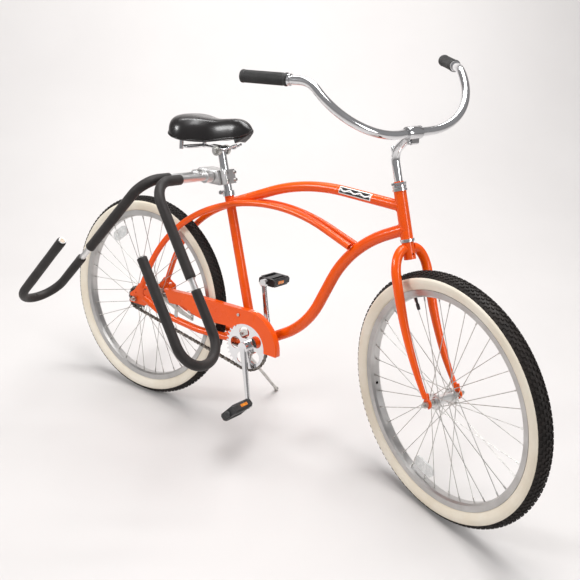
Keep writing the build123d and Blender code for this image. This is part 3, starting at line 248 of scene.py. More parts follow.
def finish(name, tones, rough, metallic=0.0, smudge=14.0, grain=900.0, relief=0.0,
           relief_scale=None, dust=0.0, dust_tone=(0.42, 0.39, 0.36), wear=0.0,
           wear_tone=(0.5, 0.5, 0.5), tone_scale=6.0, **shader_values):
    """A procedural finish. tones are two linear colours, rough the lowest and highest roughness."""
    material = bpy.data.materials.new(name)
    material.use_nodes = True
    tree = material.node_tree
    shader = tree.nodes["Principled BSDF"]
    shader.inputs["Metallic"].default_value = metallic
    for key, value in shader_values.items():
        shader.inputs[key.replace("_", " ")].default_value = value

    def mix(factor, first, second):
        node = tree.nodes.new("ShaderNodeMix")
        node.data_type = "RGBA"
        tree.links.new(factor, node.inputs["Factor"])
        for socket, value in ((node.inputs["A"], first), (node.inputs["B"], second)):
            if isinstance(value, tuple):
                socket.default_value = (*value, 1.0)
            else:
                tree.links.new(value, socket)
        return node.outputs["Result"]

    def place(group, **values):
        node = tree.nodes.new("ShaderNodeGroup")
        node.node_tree = group
        for key, value in values.items():
            node.inputs[key].default_value = value
        return node.outputs[0]

    colour = mix(spread(tree, noise(tree, tone_scale, 4.0), 0.36, 0.66), tones[0], tones[1])
    if dust:
        colour = mix(place(dust_group, Amount=dust), colour, dust_tone)
    if wear:
        colour = mix(place(wear_group, Amount=wear), colour, wear_tone)
    tree.links.new(colour, shader.inputs["Base Color"])
    tree.links.new(place(smudge_group, Scale=smudge, Low=rough[0], High=rough[1]),
                   shader.inputs["Roughness"])
    if relief:
        bump = tree.nodes.new("ShaderNodeBump")
        bump.inputs["Strength"].default_value = relief
        bump.inputs["Distance"].default_value = 0.0006
        tree.links.new(place(grain_group, Scale=relief_scale or grain), bump.inputs["Height"])
        tree.links.new(bump.outputs["Normal"], shader.inputs["Normal"])
    return material


def extra_relief(material, texture_kind, scale, strength, distance, feature=None):
    """Adds a second relief, such as pores or prisms, on top of the grain's."""
    tree = material.node_tree
    shader = tree.nodes["Principled BSDF"]
    place = tree.nodes.new("ShaderNodeTexCoord")
    texture = tree.nodes.new(texture_kind)
    texture.inputs["Scale"].default_value = scale
    if feature:
        texture.feature = feature
    tree.links.new(place.outputs["Object"], texture.inputs["Vector"])
    bump = tree.nodes.new("ShaderNodeBump")
    bump.inputs["Strength"].default_value = strength
    bump.inputs["Distance"].default_value = distance
    tree.links.new(texture.outputs["Distance"], bump.inputs["Height"])
    normal = shader.inputs["Normal"]
    if normal.links:
        tree.links.new(normal.links[0].from_socket, bump.inputs["Normal"])
    tree.links.new(bump.outputs["Normal"], normal)
    return material


# %% [markdown]
# ## Finishes
#
# The frame is sprayed in a hot orange enamel under clear lacquer, so it has a strong coat and
# almost no texture. Chrome gets faint smudges, zinc and alloy get a fine brushed grain, and the
# tyre has two rubbers: a brown-black tread and a cream side wall that is never quite clean.

# %% Metals and paint
orange_enamel = finish("orange_enamel", [(0.84, 0.083, 0.001), (0.92, 0.104, 0.001)], (0.2, 0.3),
                       smudge=7.0, relief=0.06, relief_scale=420.0, dust=0.05,
                       dust_tone=(0.8, 0.35, 0.2), wear=0.12, wear_tone=(0.5, 0.1, 0.03),
                       Coat_Weight=0.35, Coat_Roughness=0.06, Specular_IOR_Level=0.25)
chrome_plate = finish("chrome_plate", [(0.70, 0.70, 0.71), (0.80, 0.80, 0.81)], (0.07, 0.17),
                      metallic=1.0, smudge=22.0, relief=0.03, relief_scale=260.0, dust=0.08,
                      dust_tone=(0.4, 0.38, 0.36))
zinc_plate = finish("zinc_plate", [(0.46, 0.45, 0.43), (0.62, 0.61, 0.58)], (0.26, 0.44),
                    metallic=1.0, smudge=60.0, relief=0.12, grain=1500.0, dust=0.15,
                    wear=0.4, wear_tone=(0.75, 0.74, 0.72), tone_scale=40.0)
satin_alloy = finish("satin_alloy", [(0.74, 0.735, 0.73), (0.83, 0.825, 0.82)], (0.3, 0.42),
                     metallic=1.0, smudge=30.0, relief=0.08, grain=1300.0, dust=0.08,
                     tone_scale=18.0)
rim_alloy = finish("rim_alloy", [(0.46, 0.45, 0.44), (0.56, 0.55, 0.54)], (0.3, 0.46),
                   metallic=1.0, smudge=26.0, relief=0.08, grain=1300.0, dust=0.15,
                   dust_tone=(0.36, 0.33, 0.3), tone_scale=14.0)
oiled_steel = finish("oiled_steel", [(0.045, 0.035, 0.03), (0.13, 0.11, 0.095)], (0.3, 0.6),
                     metallic=0.85, smudge=90.0, relief=0.2, grain=1700.0, dust=0.2,
                     wear=0.6, wear_tone=(0.45, 0.42, 0.38), tone_scale=70.0)

# %% [markdown]
# The soft and dark materials differ mostly in how they scatter light: foam and tread are dull
# and porous, vinyl is glossy with a fine leather grain, and plastic lies between.

# %% Rubber, foam, vinyl and plastic
tread_rubber = finish("tread_rubber", [(0.009, 0.007, 0.006), (0.019, 0.0145, 0.0125)], (0.5, 0.72),
                      smudge=40.0, relief=0.35, grain=1100.0, dust=0.12,
                      dust_tone=(0.09, 0.07, 0.06), tone_scale=22.0, Specular_IOR_Level=0.3)
cream_sidewall = finish("cream_sidewall", [(0.74, 0.66, 0.53), (0.82, 0.76, 0.65)], (0.5, 0.66),
                        smudge=30.0, relief=0.12, grain=700.0, dust=0.12,
                        dust_tone=(0.55, 0.4, 0.27), tone_scale=9.0)
black_foam = finish("black_foam", [(0.012, 0.0095, 0.009), (0.021, 0.017, 0.016)], (0.5, 0.66),
                    smudge=25.0, relief=0.4, grain=1900.0, dust=0.08, dust_tone=(0.1, 0.085, 0.075),
                    tone_scale=14.0, Sheen_Weight=0.08, Sheen_Roughness=0.5,
                    Specular_IOR_Level=0.35)
extra_relief(black_foam, "ShaderNodeTexVoronoi", 750.0, 0.35, 0.0004)
gloss_vinyl = finish("gloss_vinyl", [(0.006, 0.0048, 0.0048), (0.011, 0.009, 0.009)],
                     (0.24, 0.36), smudge=16.0, relief=0.15, grain=1300.0, dust=0.05,
                     dust_tone=(0.1, 0.09, 0.09), Coat_Weight=0.35, Coat_Roughness=0.15)
extra_relief(gloss_vinyl, "ShaderNodeTexVoronoi", 520.0, 0.12, 0.0003, "SMOOTH_F1")
grip_rubber = finish("grip_rubber", [(0.012, 0.012, 0.012), (0.028, 0.027, 0.026)], (0.5, 0.68),
                     smudge=45.0, relief=0.25, grain=1500.0, dust=0.2, dust_tone=(0.15, 0.145, 0.14))
black_plastic = finish("black_plastic", [(0.013, 0.013, 0.014), (0.026, 0.026, 0.027)], (0.38, 0.55),
                       smudge=50.0, relief=0.25, grain=1800.0, dust=0.2,
                       dust_tone=(0.2, 0.19, 0.18), wear=0.4, wear_tone=(0.12, 0.12, 0.12))
tan_plug = finish("tan_plug", [(0.52, 0.42, 0.33), (0.66, 0.56, 0.46)], (0.35, 0.5), smudge=60.0,
                  relief=0.2, grain=1200.0)
clear_prisms = finish("clear_prisms", [(0.62, 0.63, 0.62), (0.8, 0.8, 0.79)], (0.12, 0.22),
                      smudge=40.0, Coat_Weight=0.8, Coat_Roughness=0.05, tone_scale=120.0)
extra_relief(clear_prisms, "ShaderNodeTexVoronoi", 330.0, 0.8, 0.001)
amber_prisms = finish("amber_prisms", [(0.78, 0.20, 0.01), (0.93, 0.34, 0.03)], (0.12, 0.22),
                      smudge=40.0, Coat_Weight=0.8, Coat_Roughness=0.05, tone_scale=120.0)
extra_relief(amber_prisms, "ShaderNodeTexVoronoi", 330.0, 0.8, 0.001)
print("finishes:", len(bpy.data.materials))

# %% [markdown]
# ## Dressing the CAD parts
#
# Parts whose shape is already right only need a finish. The record says what each part is made
# of, and this table turns that into the finishes above. Parts with flat faces also get a
# hairline bevel, because the light on a real edge is what makes it look made.

# %% Finishes for the CAD parts
slot_finish = {
    "frame_paint": orange_enamel, "chrome": chrome_plate, "bright_steel": zinc_plate,
    "dark_steel": oiled_steel, "satin_aluminium": satin_alloy, "black_plastic": black_plastic,
    "black_vinyl": gloss_vinyl, "black_foam": black_foam, "black_rubber": grip_rubber,
    "tyre_rubber": tread_rubber, "clear_plastic": clear_prisms,
}
made_of = {part["node"]: part["material_slot"] for part in frame["record"]["subparts"]}
for name, part in nodes.items():
    part.data.materials.clear()
    part.data.materials.append(slot_finish[made_of[name]])
for name in ("rack_arm_front", "rack_arm_rear", "rack_hook_front", "rack_hook_rear"):
    nodes[name].data.materials[0] = satin_alloy
for name in ("front_rim", "rear_rim"):
    nodes[name].data.materials[0] = rim_alloy

EDGE_BEVELS = {"chain_guard": 0.5, "rear_dropouts": 0.8, "rack_clamp_rear": 1.5,
               "rack_clamp_front": 1.5, "coaster_brake_arm": 0.5, "kickstand_plate": 0.8,
               "pedal_left": 0.9, "pedal_right": 0.9, "stem": 1.0}
for name, width in EDGE_BEVELS.items():
    weld = nodes[name].modifiers.new("join_facets", "WELD")
    weld.merge_threshold = 0.00002
    bevel = nodes[name].modifiers.new("hairline_edges", "BEVEL")
    bevel.width = width * MM
    bevel.segments = 2
    bevel.limit_method = "ANGLE"
    bevel.angle_limit = math.radians(40)
    bevel.harden_normals = True
print("dressed", len(nodes), "parts")

# %% [markdown]
# ## Building pieces
#
# Everything from here on is mesh code. Three helpers cover most of it: one makes a piece and
# lets it ride on a body, one sweeps a ring along a route, and one spins a profile round an axle.

# %% Mesh helpers


def make_piece(name, points, faces, material, body, smooth=True, slot=None):
    """A mesh object that moves with a CAD body."""
    mesh = bpy.data.meshes.new(name)
    mesh.from_pydata([tuple(p) for p in points], [], faces)
    mesh.materials.append(material)
    builder = bmesh.new()
    builder.from_mesh(mesh)
    bmesh.ops.recalc_face_normals(builder, faces=builder.faces)
    builder.to_mesh(mesh)
    builder.free()
    if smooth:
        mesh.polygons.foreach_set("use_smooth", [True] * len(mesh.polygons))
    piece = bpy.data.objects.new(name, mesh)
    bpy.context.scene.collection.objects.link(piece)
    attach(piece, body)
    return piece


def route_through(corners, bends, step=6.0):
    """Points along straight runs joined by arcs, from corners and bend radii in millimetres."""
    corners = [Vector(c) for c in corners]
    points = [corners[0]]
    for before, corner, after, bend in zip(corners, corners[1:], corners[2:], bends):
        into = (corner - before).normalized()
        out = (after - corner).normalized()
        angle = into.angle(out)
        tangent = bend * math.tan(angle / 2)
        inward = (out - into).normalized()
        centre = corner + inward * (bend / math.cos(angle / 2))
        first = corner - into * tangent
        count = max(3, int(bend * angle / step))
        axis = into.cross(out).normalized()
        for k in range(count + 1):
            turn = Matrix.Rotation(angle * k / count, 3, axis)
            points.append(centre + turn @ (first - centre))
    points.append(corners[-1])
    filled = [points[0]]
    for point in points[1:]:
        gap = (point - filled[-1]).length
        pieces = max(1, int(gap / (step * 1.6)))
        start = filled[-1].copy()
        for k in range(1, pieces + 1):
            filled.append(start.lerp(point, k / pieces))
    return [p for n, p in enumerate(filled) if n == 0 or (p - filled[n - 1]).length > 1e-6]


def ring_faces(rings, sides, closed=False):
    """Faces from each ring of points to the next, and from the last to the first if closed."""
    faces = []
    for n in range(rings if closed else rings - 1):
        after = (n + 1) % rings
        for k in range(sides):
            m = (k + 1) % sides
            faces.append((n * sides + k, n * sides + m, after * sides + m, after * sides + k))
    return faces


def sweep_ring(route, radii, sides=24, closed=False):
    """A ring of given radius carried along a route without twisting. Returns points and faces."""
    count = len(route)
    tangents = []
    for n in range(count):
        before = route[n - 1] if (n or closed) else route[0]
        after = route[(n + 1) % count] if (n < count - 1 or closed) else route[-1]
        tangents.append((after - before).normalized())
    side = tangents[0].orthogonal().normalized()
    points = []
    for n in range(count):
        side = (side - tangents[n] * side.dot(tangents[n])).normalized()
        other = tangents[n].cross(side)
        for k in range(sides):
            a = 2 * math.pi * k / sides
            points.append(route[n] + (side * math.cos(a) + other * math.sin(a)) * radii[n])
    return points, ring_faces(count, sides, closed)


def spin_profile(profile, frame_matrix, steps=144, closed=True):
    """Spins (radius, sideways) points, in millimetres, about a wheel's axle."""
    points, faces = [], []
    size = len(profile)
    for n in range(steps):
        a = 2 * math.pi * n / steps
        for radius, out in profile:
            spot = Vector((radius * math.cos(a), out, radius * math.sin(a)))
            points.append(frame_matrix @ (spot * MM))
    for n in range(steps):
        for k in range(size if closed else size - 1):
            m = (n + 1) % steps
            j = (k + 1) % size
            faces.append((n * size + k, n * size + j, m * size + j, m * size + k))
    return points, faces


# The four sides of a block with corners 0 to 3 below and 4 to 7 above.
BLOCK_SIDES = [(0, 1, 5, 4), (1, 2, 6, 5), (2, 3, 7, 6), (3, 0, 4, 7)]


def merge(parts):
    """Joins several (points, faces) lists into one."""
    points, faces = [], []
    for some_points, some_faces in parts:
        base = len(points)
        points.extend(some_points)
        faces.extend(tuple(i + base for i in face) for face in some_faces)
    return points, faces


def wheel_matrix(centre, axle_direction, up_direction):
    """Axes of a wheel: X and Z in its plane, Y along its axle."""
    axle = axle_direction.normalized()
    flat = axle.cross(up_direction).normalized()
    matrix = Matrix((flat, axle, flat.cross(axle))).transposed().to_4x4()
    matrix.translation = centre
    return matrix


wheels = {
    "front": wheel_matrix(front_axle, front_left, upright),
    "rear": wheel_matrix(rear_axle, left, upright),
}

# %% [markdown]
# ## Tyres
#
# A balloon tyre is a round section with three zones: cream side walls, a rounded brown-black
# shoulder, and a tread of small rubber blocks. The section is spun round the axle, and the
# blocks are real geometry, set in staggered rows, because their edges make the tyre's outline.

# %% Tyre section
SECTION_CENTRE = 306.0
CASING = 23.6             # the casing's radius under the tread blocks
WALL_RADIUS = 26.3
TREAD_TOP = 26.9
TREAD_EDGE = math.radians(63)
BEAD = math.radians(141)


def section(angle, radius):
    """A point of the round section, as its distance from the axle and its place sideways."""
    return (SECTION_CENTRE + radius * math.cos(angle), radius * math.sin(angle))


def wall_profile(side):
    """One cream side wall: from the tread's edge down to the rim, with two moulded ribs."""
    profile = []
    for k in range(25):
        t = k / 24
        angle = TREAD_EDGE + (BEAD - TREAD_EDGE) * t
        upper_rib = 0.5 * math.exp(-((t - 0.16) / 0.03) ** 2)
        lower_rib = 0.4 * math.exp(-((t - 0.86) / 0.035) ** 2)
        hollow = 1 - math.sin(math.pi * min(1, t * 1.4 + 0.2))
        radius, out = section(angle, WALL_RADIUS - hollow + upper_rib + lower_rib)
        profile.append((radius, side * out))
    inner = [(r, o - side * 2.0) for r, o in reversed(profile)]
    return profile + inner


def tread_profile():
    """The casing under the blocks, a little higher at its shoulders."""
    shares = [k / 12 - 1 for k in range(25)]
    outer = [section(TREAD_EDGE * share, CASING + 1.6 * abs(share) ** 3) for share in shares]
    inner = [section(-TREAD_EDGE * share, CASING - 2.0) for share in shares]
    return outer + inner


# %% [markdown]
# The blocks sit in seven rows round the casing, each row given by its angle across the section
# and the length and width of its blocks. Neighbouring rows are offset by half a step.

# %% Tread blocks
BLOCKS_IN_ROW = 120
# angle across the section in degrees, length, width
ROWS = [(0, 9.5, 7.0), (17.5, 9.0, 6.4), (-17.5, 9.0, 6.4), (34, 9.5, 6.2), (-34, 9.5, 6.2),
        (50, 8.0, 7.6), (-50, 8.0, 7.6)]


def tread_block(matrix, around, across, length, width, skew):
    """One tapered block with a chamfered top, standing on the casing."""
    levels = ((CASING - 0.6, 1.0), (TREAD_TOP - 0.7, 0.86), (TREAD_TOP, 0.72))
    points = []
    for radius, share in levels:
        for da, db in ((-1, -1), (1, -1), (1, 1), (-1, 1)):
            angle = across + db * share * width / 2 / TREAD_TOP
            r, out = section(angle, radius)
            turn = around + (da * share * length / 2 + skew * db * width / 2) / WHEEL_RADIUS
            points.append(matrix @ (Vector((r * math.cos(turn), out, r * math.sin(turn))) * MM))
    faces = [(8, 9, 10, 11)]
    for level in (0, 4):
        for k in range(4):
            a, b = level + k, level + (k + 1) % 4
            faces.append((a, b, b + 4, a + 4))
    return points, faces


for end, matrix in wheels.items():
    body = f"{end}_wheel"
    walls = merge([spin_profile(wall_profile(1), matrix), spin_profile(wall_profile(-1), matrix)])
    make_piece(f"{end}_tyre_sidewalls", *walls, cream_sidewall, body, slot="tyre_rubber")
    casing = make_piece(f"{end}_tyre_casing", *spin_profile(tread_profile(), matrix), tread_rubber,
                        body, slot="tyre_rubber")
    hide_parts(f"{end}_tyre")
    blocks = []
    for row, (across, length, width) in enumerate(ROWS):
        stagger = 0.5 * ((row + 1) // 2 % 2) + (0.12 if across > 0 else 0.0)
        skew = 0.0 if across == 0 else 0.3 * (1 if across > 0 else -1) * (-1) ** ((row + 1) // 2)
        for k in range(BLOCKS_IN_ROW):
            around = 2 * math.pi * (k + stagger) / BLOCKS_IN_ROW
            blocks.append(tread_block(matrix, around, math.radians(across), length, width, skew))
    make_piece(f"{end}_tyre_tread", *merge(blocks), tread_rubber, body, smooth=False,
               slot="tyre_rubber")
print("tread blocks on each tyre:", len(blocks))

# %% [markdown]
# ## Valves
#
# The air valve of each wheel stands inwards from the rim, a dark stem under a ribbed black cap.
# It takes the place of the whole inner tube, which nobody can see inside its tyre. The front one
# has come to rest just below the fork's crown.

# %% Valves
# distance from the axle and radius, from inside the rim to the cap's tip
VALVE = [(272, 0.3), (272, 3.6), (258, 3.6), (256, 3.0), (250, 3.0), (249.5, 4.6), (236, 4.3),
         (234, 3.4), (233.6, 0.3)]


def make_valve(end, angle):
    """A turned stem and cap, lying along one radius of the wheel."""
    towards = Vector((math.cos(angle), 0, math.sin(angle)))
    beside = Vector((-math.sin(angle), 0, math.cos(angle)))
    points, sides = [], 16
    for radius, size in VALVE:
        for k in range(sides):
            a = 2 * math.pi * k / sides
            spot = towards * radius + beside * size * math.cos(a)
            points.append(wheels[end] @ ((spot + Vector((0, size * math.sin(a), 0))) * MM))
    valve = make_piece(f"{end}_valve", points, ring_faces(len(VALVE), sides), black_plastic,
                       f"{end}_wheel", slot="black_plastic")
    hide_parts(f"{end}_inner_tube")


make_valve("front", math.radians(116.7))
make_valve("rear", math.radians(-42.0))
print("valves: 2")

# %% [markdown]
# ## Chain
#
# A bicycle chain alternates narrow links with wide ones, every pin half an inch from the next.
# The pins are walked round the two sprockets in equal steps, and each link is laid between two
# neighbours: a pair of waisted plates, with a roller on every pin.

# %% The chain's pins
PITCH = 12.7
LINKS = 100
CHAIN_LINE = -47.0
RING_TEETH, COG_TEETH = 36, 18
ring_radius = PITCH / (2 * math.sin(math.pi / RING_TEETH))
cog_radius = PITCH / (2 * math.sin(math.pi / COG_TEETH))
bracket_on_bike = bike.inverted() @ bracket / MM
cog_centre = Vector((0, WHEEL_RADIUS))
ring_centre = Vector((bracket_on_bike.x, bracket_on_bike.z))
between = ring_centre - cog_centre
slope = math.atan2(between.y, between.x)
wrap = math.asin((ring_radius - cog_radius) / between.length)


def rim_point(centre, radius, angle):
    """A point on a circle, seen from the bicycle's side."""
    return centre + Vector((math.cos(angle), math.sin(angle))) * radius


loop = []
upper, lower = slope + math.pi / 2 + wrap, slope - math.pi / 2 - wrap
for k in range(161):
    loop.append(rim_point(ring_centre, ring_radius, upper + (lower - upper) * k / 160))
round_cog = 2 * math.pi - (upper - lower)
for k in range(121):
    loop.append(rim_point(cog_centre, cog_radius, lower - round_cog * k / 120))
lengths = [0.0]
for a, b in zip(loop, loop[1:] + loop[:1]):
    lengths.append(lengths[-1] + (b - a).length)


def along_loop(distance):
    """The point at a distance along the chain's loop."""
    distance %= lengths[-1]
    n = max(i for i, reached in enumerate(lengths[:-1]) if reached <= distance + 1e-9)
    a, b = loop[n], loop[(n + 1) % len(loop)]
    return a.lerp(b, (distance - lengths[n]) / (lengths[n + 1] - lengths[n]))


pins = [along_loop(lengths[-1] * k / LINKS) for k in range(LINKS)]
print("chain pitch:", round((pins[1] - pins[0]).length, 2), "mm")

# %% [markdown]
# Wide and narrow links take turns, so a link's plates overlap those of its neighbours. All 100
# go into one mesh, which rides on the frame.

# %% Links and rollers
PLATE_ROUND, PLATE_WAIST, PLATE_THICK = 4.2, 2.9, 1.0


def link_plate(first, second, out, thickness, waist):
    """One side plate: round at both pins and narrower between."""
    along = (second - first).normalized()
    across = Vector((-along.y, along.x))
    span = (second - first).length
    outline = []
    for k in range(9):
        a = math.pi / 2 + math.pi * k / 8
        outline.append(first + (along * math.cos(a) + across * math.sin(a)) * PLATE_ROUND)
    outline.append(first + along * span / 2 - across * waist)
    for k in range(9):
        a = -math.pi / 2 + math.pi * k / 8
        outline.append(second + (along * math.cos(a) + across * math.sin(a)) * PLATE_ROUND)
    outline.append(first + along * span / 2 + across * waist)
    points = [on_frame(p.x, CHAIN_LINE + o, p.y) for o in (out, out + thickness) for p in outline]
    size = len(outline)
    faces = [tuple(range(size)), tuple(range(2 * size - 1, size - 1, -1))]
    faces += [(k, (k + 1) % size, (k + 1) % size + size, k + size) for k in range(size)]
    return points, faces


def cross_pin(centre, reach, radius, sides=12):
    """A pin or roller through the links, reaching the same way to both sides."""
    points = [on_frame(centre.x + radius * math.cos(2 * math.pi * k / sides), CHAIN_LINE + o,
                       centre.y + radius * math.sin(2 * math.pi * k / sides))
              for o in (-reach, reach) for k in range(sides)]
    faces = [tuple(range(sides)), tuple(range(2 * sides - 1, sides - 1, -1))]
    faces += [(k, (k + 1) % sides, (k + 1) % sides + sides, k + sides) for k in range(sides)]
    return points, faces


plates = []
for k in range(LINKS):
    here, there = pins[k], pins[(k + 1) % LINKS]
    place = 2.9 if k % 2 else 1.85
    for out in (place, -place - PLATE_THICK):
        plates.append(link_plate(here, there, out, PLATE_THICK, PLATE_WAIST))
    plates.append(cross_pin(here, 1.8, 3.7))
    plates.append(cross_pin(here, 4.3, 1.7, 8))
chain = make_piece("drive_chain", *merge(plates), oiled_steel, "frame", smooth=False,
                   slot="dark_steel")
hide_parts("chain")
print("chain links:", LINKS)

# %% [markdown]
# ## Foam sleeves
#
# The rack's tubes wear slit foam pipe, the kind sold for lagging. It follows the bends, thins a
# little on the outside of each, and its cut ends are square with a soft lip. Each sleeve is a
# ring swept along the tube's route, with its radius varied a little on the way.

# %% Rack routes
RACK_HEIGHT, RACK_SIDE, RACK_BEND, CRADLE = 776.0, -273.0, 62.0, 143.0
# each arm's place, its lean in degrees, its padded and bare lengths, and where its foam starts
ARMS = {"front": (266.0, 34.0, 284.0, 33.0, -165.0), "rear": (229.0, -42.1, 319.0, 52.0, -172.0)}
HOOK_DROP, CRADLE_RETURN = 198.0, 245.0
SIDEWAYS = Vector((0, 1, 0))
# depth and radius of the plug in the hook's end, from inside the tube to its dimple
PLUG = [(-0.5, 8.2), (2.7, 8.2), (3.4, 7.4), (3.7, 5.0), (3.4, 3.0), (2.6, 2.2)]


def foam_sleeve(name, route, outer, inner, body, node):
    """A foam tube with soft-lipped ends and faint unevenness."""
    random.seed(name)
    phases = [random.uniform(0, 6.28) for _ in range(3)]
    total = sum((b - a).length for a, b in zip(route, route[1:]))
    radii, at = [], 0.0
    for n, point in enumerate(route):
        if n:
            at += (point - route[n - 1]).length
        wave = 0.16 * math.sin(at / 31 + phases[0]) + 0.11 * math.sin(at / 13 + phases[1])
        radii.append((outer - 0.2 + wave) * MM)
    into = (route[1] - route[0]).normalized()
    out = (route[-1] - route[-2]).normalized()
    lip = [(0.0, inner + 0.3), (0.0, outer - 1.6), (0.5, outer - 0.7), (1.6, outer - 0.2)]
    rings = [(route[0] + into * d, into, r * MM) for d, r in lip]
    rings += [(route[n], (route[n + 1] - route[n - 1]).normalized(), radii[n])
              for n in range(1, len(route) - 1)]
    rings += [(route[-1] - out * d, out, r * MM) for d, r in reversed(lip)]
    back = [(route[-1], out, inner * MM)]
    back += [(route[n], (route[n + 1] - route[n - 1]).normalized(), inner * MM)
             for n in range(len(route) - 2, 0, -1)]
    rings += back + [(route[0], into, inner * MM)]
    points, sides = [], 32
    side = rings[0][1].orthogonal().normalized()
    for middle, direction, radius in rings:
        side = (side - direction * side.dot(direction)).normalized()
        other = direction.cross(side)
        for k in range(sides):
            a = 2 * math.pi * k / sides
            edge = middle + (side * math.cos(a) + other * math.sin(a)) * (radius / MM)
            points.append(on_frame(*edge))
    sleeve = make_piece(name, points, ring_faces(len(rings), sides, closed=True), black_foam,
                        body, slot="black_foam")
    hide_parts(node)
    print(name, round(total), "mm long")
    return sleeve


for end, (x, tilt, padded, bare, pad_start) in ARMS.items():
    leg = Vector((math.sin(math.radians(tilt)), 0, -math.cos(math.radians(tilt))))
    corner = Vector((x, RACK_SIDE, RACK_HEIGHT))
    outer = corner + Vector((0, -CRADLE, 0))
    bottom = padded + bare + HOOK_DROP
    arm_route = route_through([(x, pad_start, RACK_HEIGHT), corner, corner + leg * padded],
                              [RACK_BEND])
    foam_sleeve(f"arm_foam_{end}", arm_route, 15.0, 11.1, f"rack_arm_{end}",
                f"rack_arm_{end}_pad")
    tip = outer + leg * (bottom - CRADLE / 2 - CRADLE_RETURN)
    hook_route = route_through([corner + leg * (padded + bare), corner + leg * bottom,
                                outer + leg * bottom, tip + leg * 1.0], [CRADLE / 2 - 0.5] * 2)
    foam_sleeve(f"hook_foam_{end}", hook_route, 14.0, 9.4, f"rack_hook_{end}",
                f"rack_hook_{end}_pad")
    across = leg.cross(SIDEWAYS)
    plug_points, sides = [], 24
    for depth, radius in PLUG:
        for k in range(sides):
            a = 2 * math.pi * k / sides
            spot = SIDEWAYS * radius * math.cos(a) + across * radius * math.sin(a)
            plug_points.append(on_frame(*(tip - leg * depth + spot)))
    last = (len(PLUG) - 1) * sides
    plug_faces = ring_faces(len(PLUG), sides)
    plug_faces += [tuple(range(sides)), tuple(range(last, last + sides))]
    make_piece(f"hook_end_plug_{end}", plug_points, plug_faces, tan_plug, f"rack_hook_{end}",
               slot="satin_aluminium")

# %% [markdown]
# ## Saddle
#
# A cruiser saddle is a moulded shell under thick foam, pulled over with glossy vinyl. From the
# side its top dips gently between the broad tail and the raised nose, and the skirt rises to the
# nose. Stations along its length give the width, the top and the skirt, and a rounded section
# is laid through each.

# %% Saddle stations
# ahead of the rear axle: (half width, top, skirt, fullness)
STATIONS = [
    (104, 16, 921, 911, 0.6), (108, 42, 928, 903, 0.62), (117, 62, 936, 895, 0.64),
    (132, 82, 944, 888, 0.66), (154, 92, 948, 881, 0.68), (178, 92, 948, 878, 0.7),
    (202, 81, 946, 877, 0.72), (224, 64, 944, 877, 0.76), (246, 50, 943, 879, 0.8),
    (268, 41, 944, 883, 0.84), (290, 36, 947, 888, 0.88), (312, 33, 950, 894, 0.9),
    (332, 31, 951, 898, 0.9), (350, 26, 948, 902, 0.9), (365, 20, 941, 908, 0.9),
    (376, 12, 932, 915, 0.9), (383, 3, 926, 922, 0.9),
]


def blend_rows(rows, steps):
    """More rows between the given ones, on a smooth curve through them."""
    result = []
    for n in range(len(rows) - 1):
        p0, p1 = rows[max(0, n - 1)], rows[n]
        p2, p3 = rows[n + 1], rows[min(len(rows) - 1, n + 2)]
        for k in range(steps):
            t = k / steps
            result.append([0.5 * (2 * b + (c - a) * t + (2 * a - 5 * b + 4 * c - d) * t * t
                                  + (3 * b - a - 3 * c + d) * t ** 3)
                           for a, b, c, d in zip(p0, p1, p2, p3)])
    result.append(list(rows[-1]))
    return result


stations = blend_rows(STATIONS, 4)
ACROSS = 40
LEAN_IN = 3.5
saddle_points = []
for x, half, top, skirt, full in stations:
    for k in range(ACROSS + 1):
        a = math.pi * k / ACROSS
        c, s = math.cos(a), math.sin(a)
        y = half * math.copysign(abs(c) ** 0.7, c)
        z = skirt + (top - skirt) * s ** (0.78 * full + 0.1)
        saddle_points.append(on_frame(x, y, z))
    saddle_points.append(on_frame(x, -(half - LEAN_IN) * 0.97, skirt - 3.0))
    saddle_points.append(on_frame(x, (half - LEAN_IN) * 0.97, skirt - 3.0))
row = ACROSS + 3
saddle_faces = ring_faces(len(stations), row)
saddle_faces += [tuple(range(row)), tuple(range((len(stations) - 1) * row, len(stations) * row))]
saddle = make_piece("saddle_cover", saddle_points, saddle_faces, gloss_vinyl, "saddle",
                    slot="black_vinyl")
smoother = saddle.modifiers.new("even_out", "SUBSURF")
smoother.levels = smoother.render_levels = 1
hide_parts("saddle_cushion")

# %% [markdown]
# A cord of piping runs along the skirt, and a black pan closes the saddle from below. The pan
# drops into a lip under the nose.

# %% Saddle piping and pan
PAN_SECTION = ((-1, -1), (-0.93, -4), (-0.5, -3), (0, -1), (0.5, -3), (0.93, -4), (1, -1))
PAN_LIP, PAN_LIP_FROM, PAN_LIP_LENGTH = 13.0, 341, 42
piping = [on_frame(x, half * 1.005, skirt + 1.0) for x, half, top, skirt, full in stations]
piping += [on_frame(x, -half * 1.005, skirt + 1.0)
           for x, half, top, skirt, full in reversed(stations)]
make_piece("saddle_piping", *sweep_ring(piping, [1.7 * MM] * len(piping), 10, closed=True),
           gloss_vinyl, "saddle", slot="black_vinyl")
nose = STATIONS[-1][0]
pan_points = []
for x, half, top, skirt, full in stations:
    share_left = min(1.0, (nose - x) / PAN_LIP_LENGTH)
    nose_lip = PAN_LIP * share_left ** 1.5 if x > PAN_LIP_FROM else 0.0
    for share, drop in PAN_SECTION:
        pan_points.append(on_frame(x, (half - 3) * share, skirt + drop - nose_lip))
    for share in (1, -1):
        pan_points.append(on_frame(x, (half - 8) * share, skirt + 4))
row = len(PAN_SECTION) + 2
pan_faces = ring_faces(len(stations), row)
pan_faces += [tuple(range(row)), tuple(range((len(stations) - 1) * row, len(stations) * row))]
pan = make_piece("saddle_pan", pan_points, pan_faces, black_plastic, "saddle",
                 slot="black_plastic")
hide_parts("saddle_base")
print("saddle stations:", len(stations))

